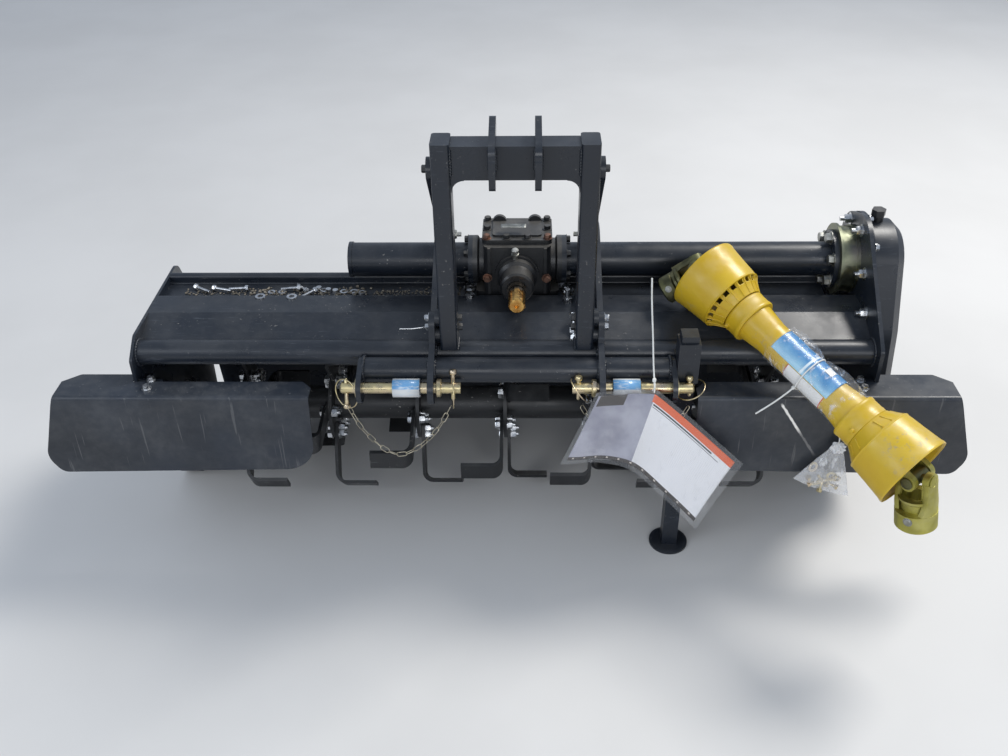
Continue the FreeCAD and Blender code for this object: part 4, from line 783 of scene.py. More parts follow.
def hex_form(across, thick, washer, stud, thread=0, sides=12):
    """Nut or bolt head on its washer, along +Z. Each level is a closed ring: the washer's circle, the
    hexagon's radius, the hexagon cut by its chamfer's cone, then the stud, whose thread swells and narrows
    level by level.
    """
    angle = np.arange(sides) * TURN / sides
    six = hexagon(angle, across)
    round_of = np.ones(sides)
    t = washer * 0.09
    rings = [
        (round_of * 0.0, 0.0), (round_of * washer, 0.0), (round_of * washer, t), (six, t),
        (six, t + thick * 0.82), (np.minimum(six, across * 0.5), t + thick),
    ]
    top = t + thick
    if stud > 0.0:
        r = across * 0.30
        steps = np.linspace(0.0, stud, thread + 2)
        rings += [(round_of * (r * (1.0 - 0.08 * (k % 2))), top + h) for k, h in enumerate(steps)]
        top += stud
    rings.append((round_of * 0.0, top))
    radius = np.array([r for r, h in rings])
    height = np.array([h for r, h in rings])[:, None] * round_of
    grid = np.stack((radius * np.cos(angle), radius * np.sin(angle), height), -1)
    return grid.reshape(-1, 3), weave(len(rings), sides, False, True)


def ring_of(count, centre, radius, way, start=0.0):
    """Places evenly round a circle that stands square to way."""
    return around(centre, radius, way, start + np.arange(count) * TURN / count)


def belt(circles, grow, count, x):
    """Places spread evenly along the belt round circles in side view. The belt's point in each direction
    belongs to the circle that reaches furthest that way.
    """
    c = np.array([(y, z) for y, z, r in circles])
    r = np.array([r for y, z, r in circles]) + grow
    t = np.linspace(0.0, TURN, 721)[:-1]
    way = np.stack((np.cos(t), np.sin(t)), -1)
    best = np.argmax(way @ c.T + r, axis=1)
    line = c[best] + r[best][:, None] * way
    line = np.vstack((line, line[:1]))
    run = run_along(line)
    at = np.arange(count) / count * run[-1]
    return np.stack((np.full(count, x), np.interp(at, run, line[:, 0]), np.interp(at, run, line[:, 1])), -1)


def mm(*rows):
    """Rows of numbers in millimetres, as an array in metres."""
    return np.array(rows, float) / 1000.0


CASE_CIRCLES = ((0.174, 0.558, 0.087), (0.1468, 0.421, 0.110), (0.114, 0.220, 0.112))


def frame_bolts(big, small, long_nut, plate_nut):
    """Each row: the piece, the form, the places in metres, and the way it stands."""
    hx = HITCH_X
    rows = []
    for s in (-1.0, 1.0):
        out = X * s
        rows.append(("zinc", small, mm((28 + s * 174, -54, 551), (28 + s * 174, -54, 530)), out))
        # Dark rows take the casting paint: bolts painted over with the frame, and darkened also as painted
        # shade on the posts' inner sides and round the gearbox.
        rows.append(("dark", small, mm((28 + s * 117, -54, 551), (28 + s * 117, -54, 530)), -out))
        rows.append(("dark", small, mm((28 + s * 162, -50, 865)), out))
        rows.append(("dull", small, mm((28 + s * 162, 178, 617)), out))
        rows.append(("dull", plate_nut, mm((28 + s * 142, 178, 617)), -out))
        rows.append(("dark", small, ring_of(6, (hx + s * 0.105, AXIS[1], AXIS[2]), 0.0445, X, 0.3), out))
        rows.append(
            (
                "dark", small,
                mm((28 + s * 64, 224, 627), (28 + s * 22, 140, 627), (28 + s * 64, 182, 627)), Z,
            )
        )
        rows.append(("zinc", small, mm((s * 718, -93, 426), (s * 718, -122, 426)), Z))
    rows.append(("zinc", big, mm((-75, 148, 502), (-73, 101, 502), (135, 139, 502)), Z))
    rows.append(("zinc", long_nut, mm((134, 80, 502)), Z))
    rows.append(
        (
            "copper", small, mm((-36, 140, 627), (92, 140, 627), (-35, 108, 550), (90, 108, 549)),
            (Z, Z, -Y, -Y),
        )
    )
    rows.append(
        ("zinc", plate_nut, mm((745, 228, 627), (745, 145, 640), (745, 79, 574), (745, 26, 512)), -X)
    )
    rows.append(("dull", big, ring_of(6, (0.695, AXIS[1], AXIS[2]), 0.0515, X, 0.62), -X))
    rows.append(("zinc", small, belt(CASE_CIRCLES, 0.0075, 18, 0.763), X))
    rows.append(("zinc", small, ring_of(6, (-0.761, ROTOR[1], ROTOR[2]), 0.054, X), -X))
    return rows


class TILLER_OT_fastenings(Operator):
    """Bolts and nuts of the frame, the gearbox, the drum, the gear case and the bearing"""

    bl_idname = "tiller.fastenings"
    bl_label = "Fastenings"

    def execute(self, context):
        wide = context.scene.tiller_sizes.bolt_across
        big = hex_form(wide, wide * 0.58, wide * 0.78, 0.0)
        small = hex_form(wide * 0.68, wide * 0.42, wide * 0.54, 0.0)
        long_nut = hex_form(wide, wide * 0.75, wide * 0.80, wide * 1.1, 10)
        plate_nut = hex_form(wide * 0.9, wide * 0.62, wide * 0.72, wide * 0.5, 5)
        rng = np.random.default_rng(5)
        skins = {"zinc": Skin(), "dull": Skin(), "dark": Skin(), "copper": Skin()}
        for kind, form, places, way in frame_bolts(big, small, long_nut, plate_nut):
            skins[kind].copies(form, places, way, rng.uniform(0.0, TURN, len(places)))
        make_piece("frame_bolts", skins["zinc"], "frame", "zinc")
        make_piece("drum_bolts", skins["dull"], "frame", "dull_zinc")
        # Dark bolts: painted over, and partly painted shade round the gearbox and inside the posts.
        make_piece("painted_over_and_shaded_bolts", skins["dark"], "frame", "casting")
        make_piece("boss_bolts", skins["copper"], "frame", "copper")
        return {"FINISHED"}


# The rotor's flanges and the two circles of bolts on each
FLANGES = 7
FLANGE_PITCH = 0.196
FLANGE_HALF = 0.004
TINE_THICK = 0.007
FLANGE_TURN = 12.0
BOLT_CIRCLES = (0.060, 0.075)


class TILLER_OT_tine_bolts(Operator):
    """Bolts that hold the tines to the rotor's flanges"""

    bl_idname = "tiller.tine_bolts"
    bl_label = "Tine bolts"

    def execute(self, context):
        wide = context.scene.tiller_sizes.bolt_across
        head = hex_form(wide * 0.95, wide * 0.55, wide * 0.62, 0.0)
        nut = hex_form(wide * 0.95, wide * 0.6, wide * 0.62, wide * 0.35, 3)
        skin = Skin()
        t = np.arange(3) * TURN / 3.0
        for k in range(FLANGES):
            x = (k - (FLANGES - 1) / 2.0) * FLANGE_PITCH
            for side, start, form, back in ((1.0, 0.0, nut, head), (-1.0, math.pi / 3.0, head, nut)):
                turn = t + start + math.radians(FLANGE_TURN * k)
                for r in BOLT_CIRCLES:
                    y = ROTOR[1] - np.sin(turn) * r
                    z = ROTOR[2] + np.cos(turn) * r
                    face = x + side * (FLANGE_HALF + TINE_THICK)
                    skin.copies(form, np.stack((np.full(3, face), y, z), -1), X * side, turn)
                    face = x - side * FLANGE_HALF
                    skin.copies(back, np.stack((np.full(3, face), y, z), -1), -X * side, turn)
        make_piece("tine_bolts", skin, "rotor", "zinc")
        return {"FINISHED"}


def bead(skin, path, radius, up):
    """Weld bead: a tube half sunk in the joint, whose radius swells with each laid ripple as a sine of the
    length run.
    """
    run = run_along(path)
    swell = radius * (1.0 + 0.16 * np.sin(run / (radius * 0.9) * TURN / 2.0))
    fade = np.clip(np.minimum(run, run[-1] - run) / (radius * 2.0), 0.25, 1.0)
    skin.tube(path, swell * fade, 8, up)


def arc_path(centre, radius, way, start, sweep, count):
    """Places along an arc that stands square to way, both of its ends included."""
    return around(centre, radius, way, start + np.linspace(0.0, sweep, count))


def round_weld(skin, x, tube, start, sweep, count, radius):
    """Bead round a cross tube at x, on a circle 1 mm outside it."""
    bead(skin, arc_path((x, tube[1], tube[2]), TUBE_R + 0.001, X, start, sweep, count), radius, X)


def straight_weld(skin, x, foot, head, count, radius, up):
    """Bead on the straight line at x between two places in side view."""
    bead(skin, np.linspace((x, *foot), (x, *head), count), radius, up)


# Offsets of the hitch plates' faces, the outer lug, the post's two sides and the top link ear
PLATE_FACES = (0.162, 0.174)
LUG_FACE = 0.304
POST_FACES = (0.117, 0.152)
EAR_MIDDLE = 0.041
BEAM_FRONT = -0.0755


class TILLER_OT_welds(Operator):
    """Weld beads where plates and tubes of the frame meet"""

    bl_idname = "tiller.welds"
    bl_label = "Welds"

    def execute(self, context):
        r = context.scene.tiller_sizes.weld_r
        skin = Skin()
        for s in (-1.0, 1.0):
            for off in PLATE_FACES:
                x = HITCH_X + s * off
                round_weld(skin, x, FRONT_TUBE, math.pi * 0.45, math.pi * 1.1, 90, r)
                round_weld(skin, x, HITCH_TUBE, math.pi * 0.5, math.pi * 1.2, 90, r)
            round_weld(skin, HITCH_X + s * LUG_FACE, HITCH_TUBE, 0.0, TURN * 0.98, 120, r)
            round_weld(skin, s * (SIDE - 0.001), FRONT_TUBE, 0.0, TURN * 0.98, 120, r)
            x = HITCH_X + s * POST_FACES[0]
            straight_weld(skin, x, (BEAM_FRONT, 0.856), (BEAM_FRONT, 0.915), 60, r, X)
            for dx in POST_FACES:
                straight_weld(skin, HITCH_X + s * dx, (-0.083, 0.494), (-0.032, 0.494), 60, r, Z)
            for dx in (-0.006, 0.006):
                x = HITCH_X + s * EAR_MIDDLE + dx
                straight_weld(skin, x, (BEAM_FRONT, 0.868), (BEAM_FRONT, 0.915), 50, r * 0.9, X)
        make_piece("weld_beads", skin, "frame", "paint", 60.0)
        return {"FINISHED"}


# Linch pins: place on the hitch pin's line, way up its shaft, tip and head heights, ring middle, the ring's
# two half axes
LINCH_PINS = (
    (
        (-308.5, -146, 445), (0.0, 0.35, 1.0), 20.0, -33.0, (-308.5, -150, 434), (0.848, -0.530, 0.0),
        (0.0, 0.33, 0.944), 28.0,
    ),
    (
        (-97.0, -146, 445), (0.0, 0.35, 1.0), -26.0, 28.0, (-97.0, -149, 436), (0.10, -0.94, 0.32),
        (0.0, 0.33, 0.944), 31.0,
    ),
    (
        (367.5, -146, 445), (0.0, 0.40, 1.0), -17.0, 15.0, (372.0, -146, 441), (0.90, 0.0, 0.43),
        (0.0, 0.995, 0.061), 28.0,
    ),
    (
        (150.0, -146, 445), (0.0, 0.20, 1.0), -26.0, 17.0, (153.0, -146, 439), (0.20, 0.88, -0.433),
        (0.60, -0.459, -0.655), 28.0,
    ),
)


def linch_pin(skin, at, up, tip, head, middle, one, other, radius):
    """Linch pin: a pin with a round point through the hitch pin, a block head, and a wire ring whose point
    is middle + radius * (cos turn * one axis + sin turn * the other).
    """
    up = unit(up)
    s = 1.0 if tip > head else -1.0
    at = np.array(at) / 1000.0
    line = mm(
        (0.0, tip), (2.0, tip - s * 0.8), (4.0, tip - s * 4.5), (4.05, head + s * 1.0), (6.2, head),
        (7.4, head - s * 2.0), (7.6, head - s * 6.5), (6.0, head - s * 9.0), (0.0, head - s * 9.6),
    )
    skin.turned(line, at, up, 20)
    t = np.linspace(0.0, TURN, 72, endpoint=False)
    one, other = unit(one), unit(other)
    loop = np.array(middle) / 1000.0 + radius / 1000.0 * (
        np.cos(t)[:, None] * one + np.sin(t)[:, None] * other
    )
    skin.hoop(loop, 0.00125, 8, np.cross(one, other))


def link_form(wire, long, wide):
    """One chain link: a tube along a racetrack whose point is (a sine of the turn widened by its straight
    sides, a cosine).
    """
    t = np.linspace(0.0, TURN, 20, endpoint=False)
    straight = (long - wide) / 2.0
    path = np.stack(
        (wide / 2.0 * np.sin(t), np.zeros_like(t), wide / 2.0 * np.cos(t) + np.sign(np.cos(t)) * straight),
        -1,
    )
    return hose(path, wire, 6, Y, True).reshape(-1, 3), weave(20, 6, True, True)


def chain(skin, points, links, wire):
    """Chain along a curve: links evenly spaced by length run, each standing along the curve and a quarter
    turn on from the last, with a slow twist.
    """
    line = smooth_path(points, 400)
    run = run_along(line)
    pitch = run[-1] / links
    at = (np.arange(links) + 0.5) * pitch
    place = np.stack([np.interp(at, run, line[:, k]) for k in range(3)], -1)
    ahead = np.stack(
        [np.interp(at + 0.002, run, line[:, k]) - np.interp(at - 0.002, run, line[:, k]) for k in range(3)],
        -1,
    )
    turn = (np.arange(links) % 2) * math.pi / 2.0 + np.arange(links) * 0.16
    long = pitch + wire * 2.4
    skin.copies(link_form(wire, long, long * 0.42), place, ahead, turn)


CHAIN_RUNS = (
    (
        (-304, -167, 416), (-280, -176, 368), (-240, -178, 318), (-205, -178, 303), (-165, -178, 325),
        (-128, -176, 368), (-101, -167, 416),
    ),
    (
        (366, -168, 416), (340, -174, 372), (300, -176, 322), (262, -176, 306), (222, -176, 326),
        (184, -174, 372), (156, -167, 416),
    ),
)


class TILLER_OT_linch_pins(Operator):
    """Linch pins through the lower hitch pins, their collars and their chains"""

    bl_idname = "tiller.linch_pins"
    bl_label = "Linch pins and chains"

    def execute(self, context):
        sizes = context.scene.tiller_sizes
        pins = Skin()
        links = Skin()
        collars = Skin()
        for row in LINCH_PINS:
            linch_pin(pins, *row)
        for s, run in zip((-1.0, 1.0), CHAIN_RUNS):
            chain(links, mm(*run), sizes.chain_links, sizes.chain_wire)
            face = HITCH_X + s * 0.158
            line = [
                (PIN_R, 0.0), (0.0165, 0.0), (0.0180, 0.0015), (0.0180, 0.0085), (0.0165, 0.0100),
                (PIN_R, 0.0100),
            ]
            collars.turned(line, (face, PIN[1], PIN[2]), (-s, 0.0, 0.0), 32, ring=True)
            washer = [(PIN_R, 0.0), (0.0200, 0.0), (0.0200, 0.0025), (PIN_R, 0.0025)]
            collars.turned(washer, (HITCH_X + s * 0.3145, PIN[1], PIN[2]), (s, 0.0, 0.0), 32, ring=True)
        make_piece("linch_pins", pins, "frame", "gold", 50.0)
        make_piece("linch_chains", links, "frame", "chain", 80.0)
        make_piece("pin_collars", collars, "frame", "gold")
        return {"FINISHED"}


# Driveline guard and joints
DL_AXIS = unit(DL_LOW - DL_TOP)
JOINT_OUT = 0.008
REST_TOP = unit((-0.800, 0.050, -0.598))
REST_LOW = unit((0.150, -0.136, -0.979))
TUBE_GUARD_R = 0.035
PAPERS_TIE = 0.301

# Profile of a bell from its mouth: radius and height in millimetres
BELL_LINE = mm(
    (76.6, 0.2), (77.6, 0.0), (78.0, 1.2), (77.9, 5.0), (76.6, 9.0), (72.9, 42.0), (69.8, 74.0),
    (69.0, 80.2), (69.5, 81.2), (69.6, 82.8), (68.9, 83.8), (66.0, 84.2),
)
TOP_FLARE = mm(
    (62.2, 84.6), (60.4, 86.4), (59.4, 92.0), (58.2, 93.0), (54.6, 99.0), (51.0, 106.0), (48.6, 111.6),
    (48.0, 113.0),
)
LOW_FLARE = mm((65.4, 85.2), (62.6, 90.0), (58.4, 96.0), (53.6, 103.0), (49.6, 110.0), (48.0, 113.0))

# Profile of a guard collar, from the bell's small end to the tube
COLLAR_LINE = mm(
    (44.0, 109.0), (44.0, 114.6), (46.9, 115.0), (48.0, 116.4), (48.0, 121.0), (47.4, 122.4), (47.4, 141.0),
    (48.2, 142.4), (48.4, 147.6), (47.0, 149.6), (42.0, 150.0), (38.2, 149.2), (37.2, 147.0), (34.8, 147.0),
)


def rib_form(thick, low, high, root_low, root_high, crest_low, crest_high):
    """Rib standing on a cone: at each station along it a flat-sided section with a rounded crest, whose
    root and crest radii run straight from one end to the other.
    """
    t = np.linspace(0.0, 1.0, 7)[:, None]
    half = thick / 2.0
    side = np.array((-1.0, -1.0, -0.45, 0.45, 1.0, 1.0)) * half
    rise = np.array((0.0, 0.82, 1.0, 1.0, 0.82, 0.0))
    root = root_low + (root_high - root_low) * t
    crest = crest_low + (crest_high - crest_low) * t**0.8
    r = root + (crest - root) * rise
    points = np.stack(
        (r, np.broadcast_to(side, r.shape), np.broadcast_to(low + (high - low) * t, r.shape)), -1,
    )
    return capped(points).reshape(-1, 3), weave(9, 6, False, True)


class TILLER_OT_guard_bells(Operator):
    """Bells of the driveline guard: mouth, shoulder, slotted and ribbed cone at the top end, plain cone at
    the low end
    """

    bl_idname = "tiller.guard_bells"
    bl_label = "Guard bells"

    def execute(self, context):
        steps = 240
        skin = Skin()
        for mouth, way, flare, ribs in ((DL_TOP, DL_AXIS, TOP_FLARE, 20), (DL_LOW, -DL_AXIS, LOW_FLARE, 0)):
            line = np.vstack((BELL_LINE, flare))
            keep = np.ones((len(line) - 1, steps), bool)
            if ribs:
                low = len(BELL_LINE) - 1
                per = steps // ribs
                keep[low:low + 3] = (np.arange(steps) % per < 3) | (np.arange(steps) % per >= per - 2)
            skin.turned(line, mouth, way, steps, keep=keep)
        bells = make_piece("guard_bells", skin, "frame", "guard", 28.0, wall=0.0028)
        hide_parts("driveline_cones")
        rings = Skin()
        for mouth, way in ((DL_TOP, DL_AXIS), (DL_LOW, -DL_AXIS)):
            line = COLLAR_LINE.copy()
            if way is not DL_AXIS:
                line[:4, 0] = 0.0479
            rings.turned(line, mouth, way, 120)
        collars = make_piece("guard_collars", rings, "frame", "guard", 40.0)
        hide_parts("driveline_collars")

        trim = Skin()
        form = rib_form(0.0024, 0.0840, 0.1125, 0.0580, 0.0470, 0.0680, 0.0492)
        turn = (np.arange(20) + 0.05) * TURN / 20.0
        trim.copies(form, np.tile(DL_TOP, (20, 1)), DL_AXIS, turn)
        faint = rib_form(0.0028, 0.0870, 0.1080, 0.0600, 0.0480, 0.0672, 0.0528)
        turn = np.array([k * TURN / 5.0 + d for k in range(5) for d in (-0.17, 0.17)])
        trim.copies(faint, np.tile(DL_LOW, (10, 1)), -DL_AXIS, turn)
        for mouth, way in ((DL_TOP, DL_AXIS), (DL_LOW, -DL_AXIS)):
            for angle in (0.30, 0.30 + TURN / 2.0):
                a, b = (v[0] for v in square_to(way)[:2])
                out = math.cos(angle) * a + math.sin(angle) * b
                foot = mouth + way * 0.1215 + out * 0.0455
                nub = mm((0.0, 0.0), (6.0, 0.0), (6.0, 2.4), (4.2, 3.0), (4.0, 6.5), (3.2, 7.4), (0.0, 7.6))
                trim.turned(nub, foot, out, 20)
        make_piece("guard_ribs", trim, "frame", "guard", 28.0)
        return {"FINISHED"}


def cheek_form(side, across, rest, ring):
    """Forged cheek of a fork ear, from the cross down to the ring. Rows run down the fork and columns round
    the section: its half width grows from the ear's to the ring's, its outer face blends from flat to the
    ring's cylinder, and it is 12 mm thick.
    """
    t = np.linspace(0.0, 1.0, 25)[:, None]
    c = np.linspace(-1.0, 1.0, 21)[None, :]
    down = 0.002 + (ring[1] + 0.006) * t
    half = 0.0165 + ring[2] * np.clip((t - 0.2) / 0.8, 0.0, 1.0) ** 1.2
    x = half * np.sin(c * math.pi / 2.0) * (1.0 - 0.04 * (1.0 - np.cos(t * TURN)))
    rounded = np.sqrt(np.maximum(ring[0] ** 2 - x**2, 0.0))
    share = np.clip(t * 1.15, 0.0, 1.0) ** 1.5
    face = (1.0 - share) * (0.0332 - 0.0012 * c**4) + share * rounded
    back = face - 0.0120 + 0.004 * np.abs(c) ** 3
    x = np.concatenate((x, x[:, ::-1]), 1)
    out = np.concatenate((face, back[:, ::-1]), 1)
    down = np.broadcast_to(down, x.shape)
    loop = x[..., None] * across + out[..., None] * side + down[..., None] * rest
    return capped(loop)


class TILLER_OT_yoke_trim(Operator):
    """Forged cheeks, bearing caps, grease nipple and push pin on the forks of the driveline"""

    bl_idname = "tiller.yoke_trim"
    bl_label = "Yoke trim"

    def execute(self, context):
        cap = mm(
            (0.0, 0.0), (9.2, 0.0), (9.2, 0.6), (11.6, 0.6), (11.6, 1.8), (9.4, 2.0), (9.0, 1.2),
            (0.0, 1.2),
        )
        nipple = mm(
            (0.0, 0.0), (4.0, 0.0), (4.0, 3.0), (2.6, 3.6), (2.6, 6.0), (3.2, 7.0), (2.2, 9.0), (0.0, 9.2),
        )
        groups = {"frame": Skin(), "yoke_low": Skin()}
        cheeks = {"frame": Skin(), "yoke_low": Skin()}
        rings = {"frame": (0.0288, 0.0550, 0.0060), "yoke_low": (0.0376, 0.0650, 0.0105)}
        top = DL_TOP - DL_AXIS * JOINT_OUT
        for mouth, out, rest, outer in (
            (DL_TOP, -DL_AXIS, REST_TOP, "frame"), (DL_LOW, DL_AXIS, REST_LOW, "yoke_low"),
        ):
            joint = mouth + out * JOINT_OUT
            across = unit(np.cross(out, rest))
            upward = np.cross(rest, across)
            for s in (-1.0, 1.0):
                cheeks["frame"].turned(cap, joint + across * s * 0.032, across * s, 32)
                cheeks[outer].turned(cap, joint + upward * s * 0.032, upward * s, 32)
                cheeks[outer].grid(
                    joint + cheek_form(upward * s, across, rest, rings[outer]), wrap_columns=True,
                )
            groups[outer].turned(nipple, joint + unit(across - upward) * 0.0115, unit(across - upward), 16)
        low = DL_LOW + DL_AXIS * JOINT_OUT
        facing = unit(np.array(CAMERA_AT) - low)
        facing = unit(facing * math.cos(0.40) - np.array(CAMERA_RIGHT) * math.sin(0.40))
        facing = unit(facing - REST_LOW * (facing @ REST_LOW))
        foot = low + REST_LOW * 0.0785 + facing * 0.0370
        plunger = mm(
            (0.0, 0.0), (8.6, 0.0), (8.6, 1.4), (7.8, 1.8), (7.2, 1.8), (7.0, 2.4), (6.2, 3.0), (0.0, 3.2),
        )
        groups["yoke_low"].turned(plunger, foot, facing, 36)
        toward = unit(np.array(CAMERA_AT) - top)
        toward = unit(toward - REST_TOP * (toward @ REST_TOP))
        button = mm((0.0, 0.0), (7.0, 0.0), (7.0, 1.0), (5.6, 1.6), (4.4, 1.6), (4.0, 3.4), (0.0, 4.0))
        groups["frame"].turned(button, top + REST_TOP * 0.070 + toward * 0.0288, toward, 28)
        make_piece("joint_trim", groups["frame"], "frame", "dull_zinc")
        make_piece("yoke_trim_low", groups["yoke_low"], "yoke_low", "dull_zinc")
        # Top cheeks and the inner caps of both joints: the yoke chromate darkened as painted shade.
        make_piece("yoke_cheeks_top", cheeks["frame"], "frame", "yoke_shaded", 30.0)
        make_piece("yoke_cheeks_low", cheeks["yoke_low"], "yoke_low", "yoke", 30.0)
        return {"FINISHED"}


def fold(x):
    """Triangle wave from 0 to 1: twice the distance of x from the nearest whole number."""
    return 2.0 * np.abs(x - np.round(x))


def wrapped(start, end, turn0, turn1, radius, rows, columns):
    """Sheet wound on the guard tube: point = top of the driveline + h * axis + radius(h, turn) * (cos turn,
    sin turn).
    """
    a, b, way = (v[0] for v in square_to(DL_AXIS))
    h = np.linspace(start, end, rows)[:, None]
    t = np.linspace(turn0, turn1, columns)[None, :]
    r = np.broadcast_to(radius(h, t), (rows, columns))[..., None]
    h, t = np.broadcast_arrays(h, t)
    return DL_TOP + h[..., None] * way + r * (np.cos(t)[..., None] * a + np.sin(t)[..., None] * b)


class TILLER_OT_papers(Operator):
    """Papers wound on the guard tube: a blue leaf, a plain white strip, a small white label and a crinkled
    clear sleeve; and the blank wraps on the pin bushings
    """

    bl_idname = "tiller.papers"
    bl_label = "Papers"

    def execute(self, context):
        r0 = TUBE_GUARD_R
        leaf = Skin()
        leaf.grid(
            wrapped(
                0.217, 0.362, -0.7, 2.75,
                lambda h, t: r0 + 0.0008 + 0.0011 * fold(h * 17.0 + t * 0.5) * np.sin(t + 0.7) ** 2, 90,
                120,
            )
        )
        booklet = make_piece("manual_leaf", leaf, "frame", "leaf", 40.0, wall=0.0005)
        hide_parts("booklet")
        strip = Skin()
        strip.grid(wrapped(0.264, 0.358, 2.80, 4.0, lambda h, t: r0 + 0.00045, 40, 40))
        make_piece("label_strip", strip, "frame", "strip", 40.0, wall=0.0003)

        window = Skin()
        window.grid(wrapped(0.321, 0.339, 1.20, 1.72, lambda h, t: r0 + 0.0024, 8, 16))
        make_piece("sleeve_label", window, "frame", "white_nylon", 40.0, wall=0.0003)

        def puffed(h, t):
            bulge = np.exp(-((t - 0.75) / 0.75) ** 2) * (0.0055 + 0.007 * np.sin((h - 0.2) * 30.0) ** 2)
            creases = 0.0016 * fold(h * 31.0 + t * 1.3) * fold(
                h * 9.0 - t * 0.7 + 0.2
            ) + 0.0010 * fold(t * 3.1 + h * 12.0)
            tie = np.exp(-((h - PAPERS_TIE) / 0.006) ** 2)
            return r0 + 0.0022 + (bulge + creases) * (1.0 - 0.92 * tie)

        sleeve = Skin()
        sleeve.grid(wrapped(0.214, 0.404, 0.0, TURN * 179.0 / 180.0, puffed, 150, 180), wrap_columns=True)
        label = Skin()
        for x in (-0.2155, 0.2175):
            label.grid(
                lathe(mm((18.45, 0.0), (18.45, 53.0)), (x, PIN[1], PIN[2]), X, 90, 0.0, TURN * 0.995)
            )
        make_piece("pin_labels", label, "frame", "label", 40.0, wall=0.00025, turn_out=False)
        make_piece("manual_sleeve", sleeve, "frame", "film", 24.0, wall=0.0003)
        return {"FINISHED"}


# Corners of the hung card in millimetres: x and z on the plane in front of the lower pins
CARD_LEFT, CARD_TOP, CARD_RIGHT, CARD_LOW, CARD_CORNER, CARD_FOLD = mm(
    (183, 463), (297, 478), (485, 286), (405, 111), (116, 284), (251, 298),
)
CARD_Y = -0.1815

# Profile of a cable tie's head: radius and height
TIE_HEAD = mm((0, 0), (3.6, 0), (3.8, 1.0), (3.8, 4.6), (3.4, 5.6), (0, 5.6))


def card_sheet(u, v, lift):
    """The hung card: u runs from its left edge over the fold at one half to its right edge, v from its top
    edge down. Each half is the straight blend of its four corners. The fold stands forward, the outer edges
    curl back with the square of the distance from it, and lift sets it off to the front.
    """
    half = u < 0.5
    s = np.where(half, u * 2.0, u * 2.0 - 1.0)[..., None]
    w = v[..., None]
    left = (1 - w) * ((1 - s) * CARD_LEFT + s * CARD_TOP) + w * ((1 - s) * CARD_CORNER + s * CARD_FOLD)
    right = (1 - w) * ((1 - s) * CARD_TOP + s * CARD_RIGHT) + w * ((1 - s) * CARD_FOLD + s * CARD_LOW)
    flat = np.where(half[..., None], left, right)
    gap = np.abs(u - 0.5) * 2.0
    ridge = 0.026 * np.exp(-gap * 5.0) + 0.010 * (1.0 - gap)
    wave = 0.004 * np.sin(v * 3.0 + u * 5.0) + 0.0012 * np.sin(u * 21.0 + v * 6.0)
    y = CARD_Y - ridge * (0.35 + 0.65 * v) - wave * v - 0.004 - lift
    return np.stack((flat[..., 0], y, flat[..., 1]), -1)


class TILLER_OT_card(Operator):
    """Folded laminated card hung from a long cable tie"""

    bl_idname = "tiller.card"
    bl_label = "Hung card"

    def execute(self, context):
        u, v = spread(np.linspace(0.0, 1.0, 97), np.linspace(0.0, 1.0, 49))
        card = Skin()
        inset_u, inset_v = 0.035 + u * 0.93, 0.055 + v * 0.89
        card.take(card_sheet(inset_u, inset_v, 0.0).reshape(-1, 3), weave(97, 49), np.stack((u, v), -1))
        paper = make_piece(
            "hung_card", card, "frame", "card", 50.0, wall=0.0006, turn_out=False,
        )
        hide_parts("hang_tag")
        laminate = Skin()
        laminate.take(card_sheet(u, v, 0.0006).reshape(-1, 3), weave(97, 49), np.stack((u, v), -1))
        make_piece(
            "card_film", laminate, "frame", "laminate", 50.0, wall=0.0003, turn_out=False,
        )

        ties = Skin()
        paths = (
            (
                mm(
                    (290, -186, 468), (292, -193, 478), (292, -180, 490), (291, -162, 512),
                    (288, -146, 562), (283, -128, 630), (281, -118, 676),
                ),
                0.0016,
            ),
            (
                mm(
                    (293, -192, 476), (294, -176, 488), (296, -166, 478), (296, -172, 466),
                    (293, -188, 464),
                ),
                0.0013,
            ),
        )
        for path, r in paths:
            ties.tube(smooth_path(path, 60), r, 8, X)
        ties.turned(TIE_HEAD, (0.292, -0.183, 0.4870), (0.0, 0.15, 1.0), 12)
        band = arc_path(
            DL_TOP + DL_AXIS * PAPERS_TIE, TUBE_GUARD_R + 0.0036, DL_AXIS, 0.0, TURN * 71.0 / 72.0, 72,
        )
        ties.hoop(band, 0.0014, 8, DL_AXIS)
        foot = DL_TOP + DL_AXIS * PAPERS_TIE + np.array((-0.0300, -0.0110, -0.0220))
        tail = np.stack(
            (
                foot, foot + np.array((-0.014, -0.004, -0.012)), foot + np.array((-0.038, -0.008, -0.032)),
                foot + np.array((-0.068, -0.010, -0.056)),
            )
        )
        ties.tube(smooth_path(tail, 40), 0.0016, 8, Y)
        ties.turned(TIE_HEAD, foot + np.array((0.001, 0.0, 0.001)), (-0.84, -0.15, -0.53), 12)
        hang = mm(
            (673, -170, 318), (672, -174, 336), (664, -190, 362), (653, -214, 392), (644, -238, 414),
            (640, -252, 424),
        )
        ties.tube(smooth_path(hang, 40), 0.0014, 8, X)
        make_piece("cable_ties", ties, "frame", "white_nylon", 40.0)
        return {"FINISHED"}


BAG_Y = -0.1693


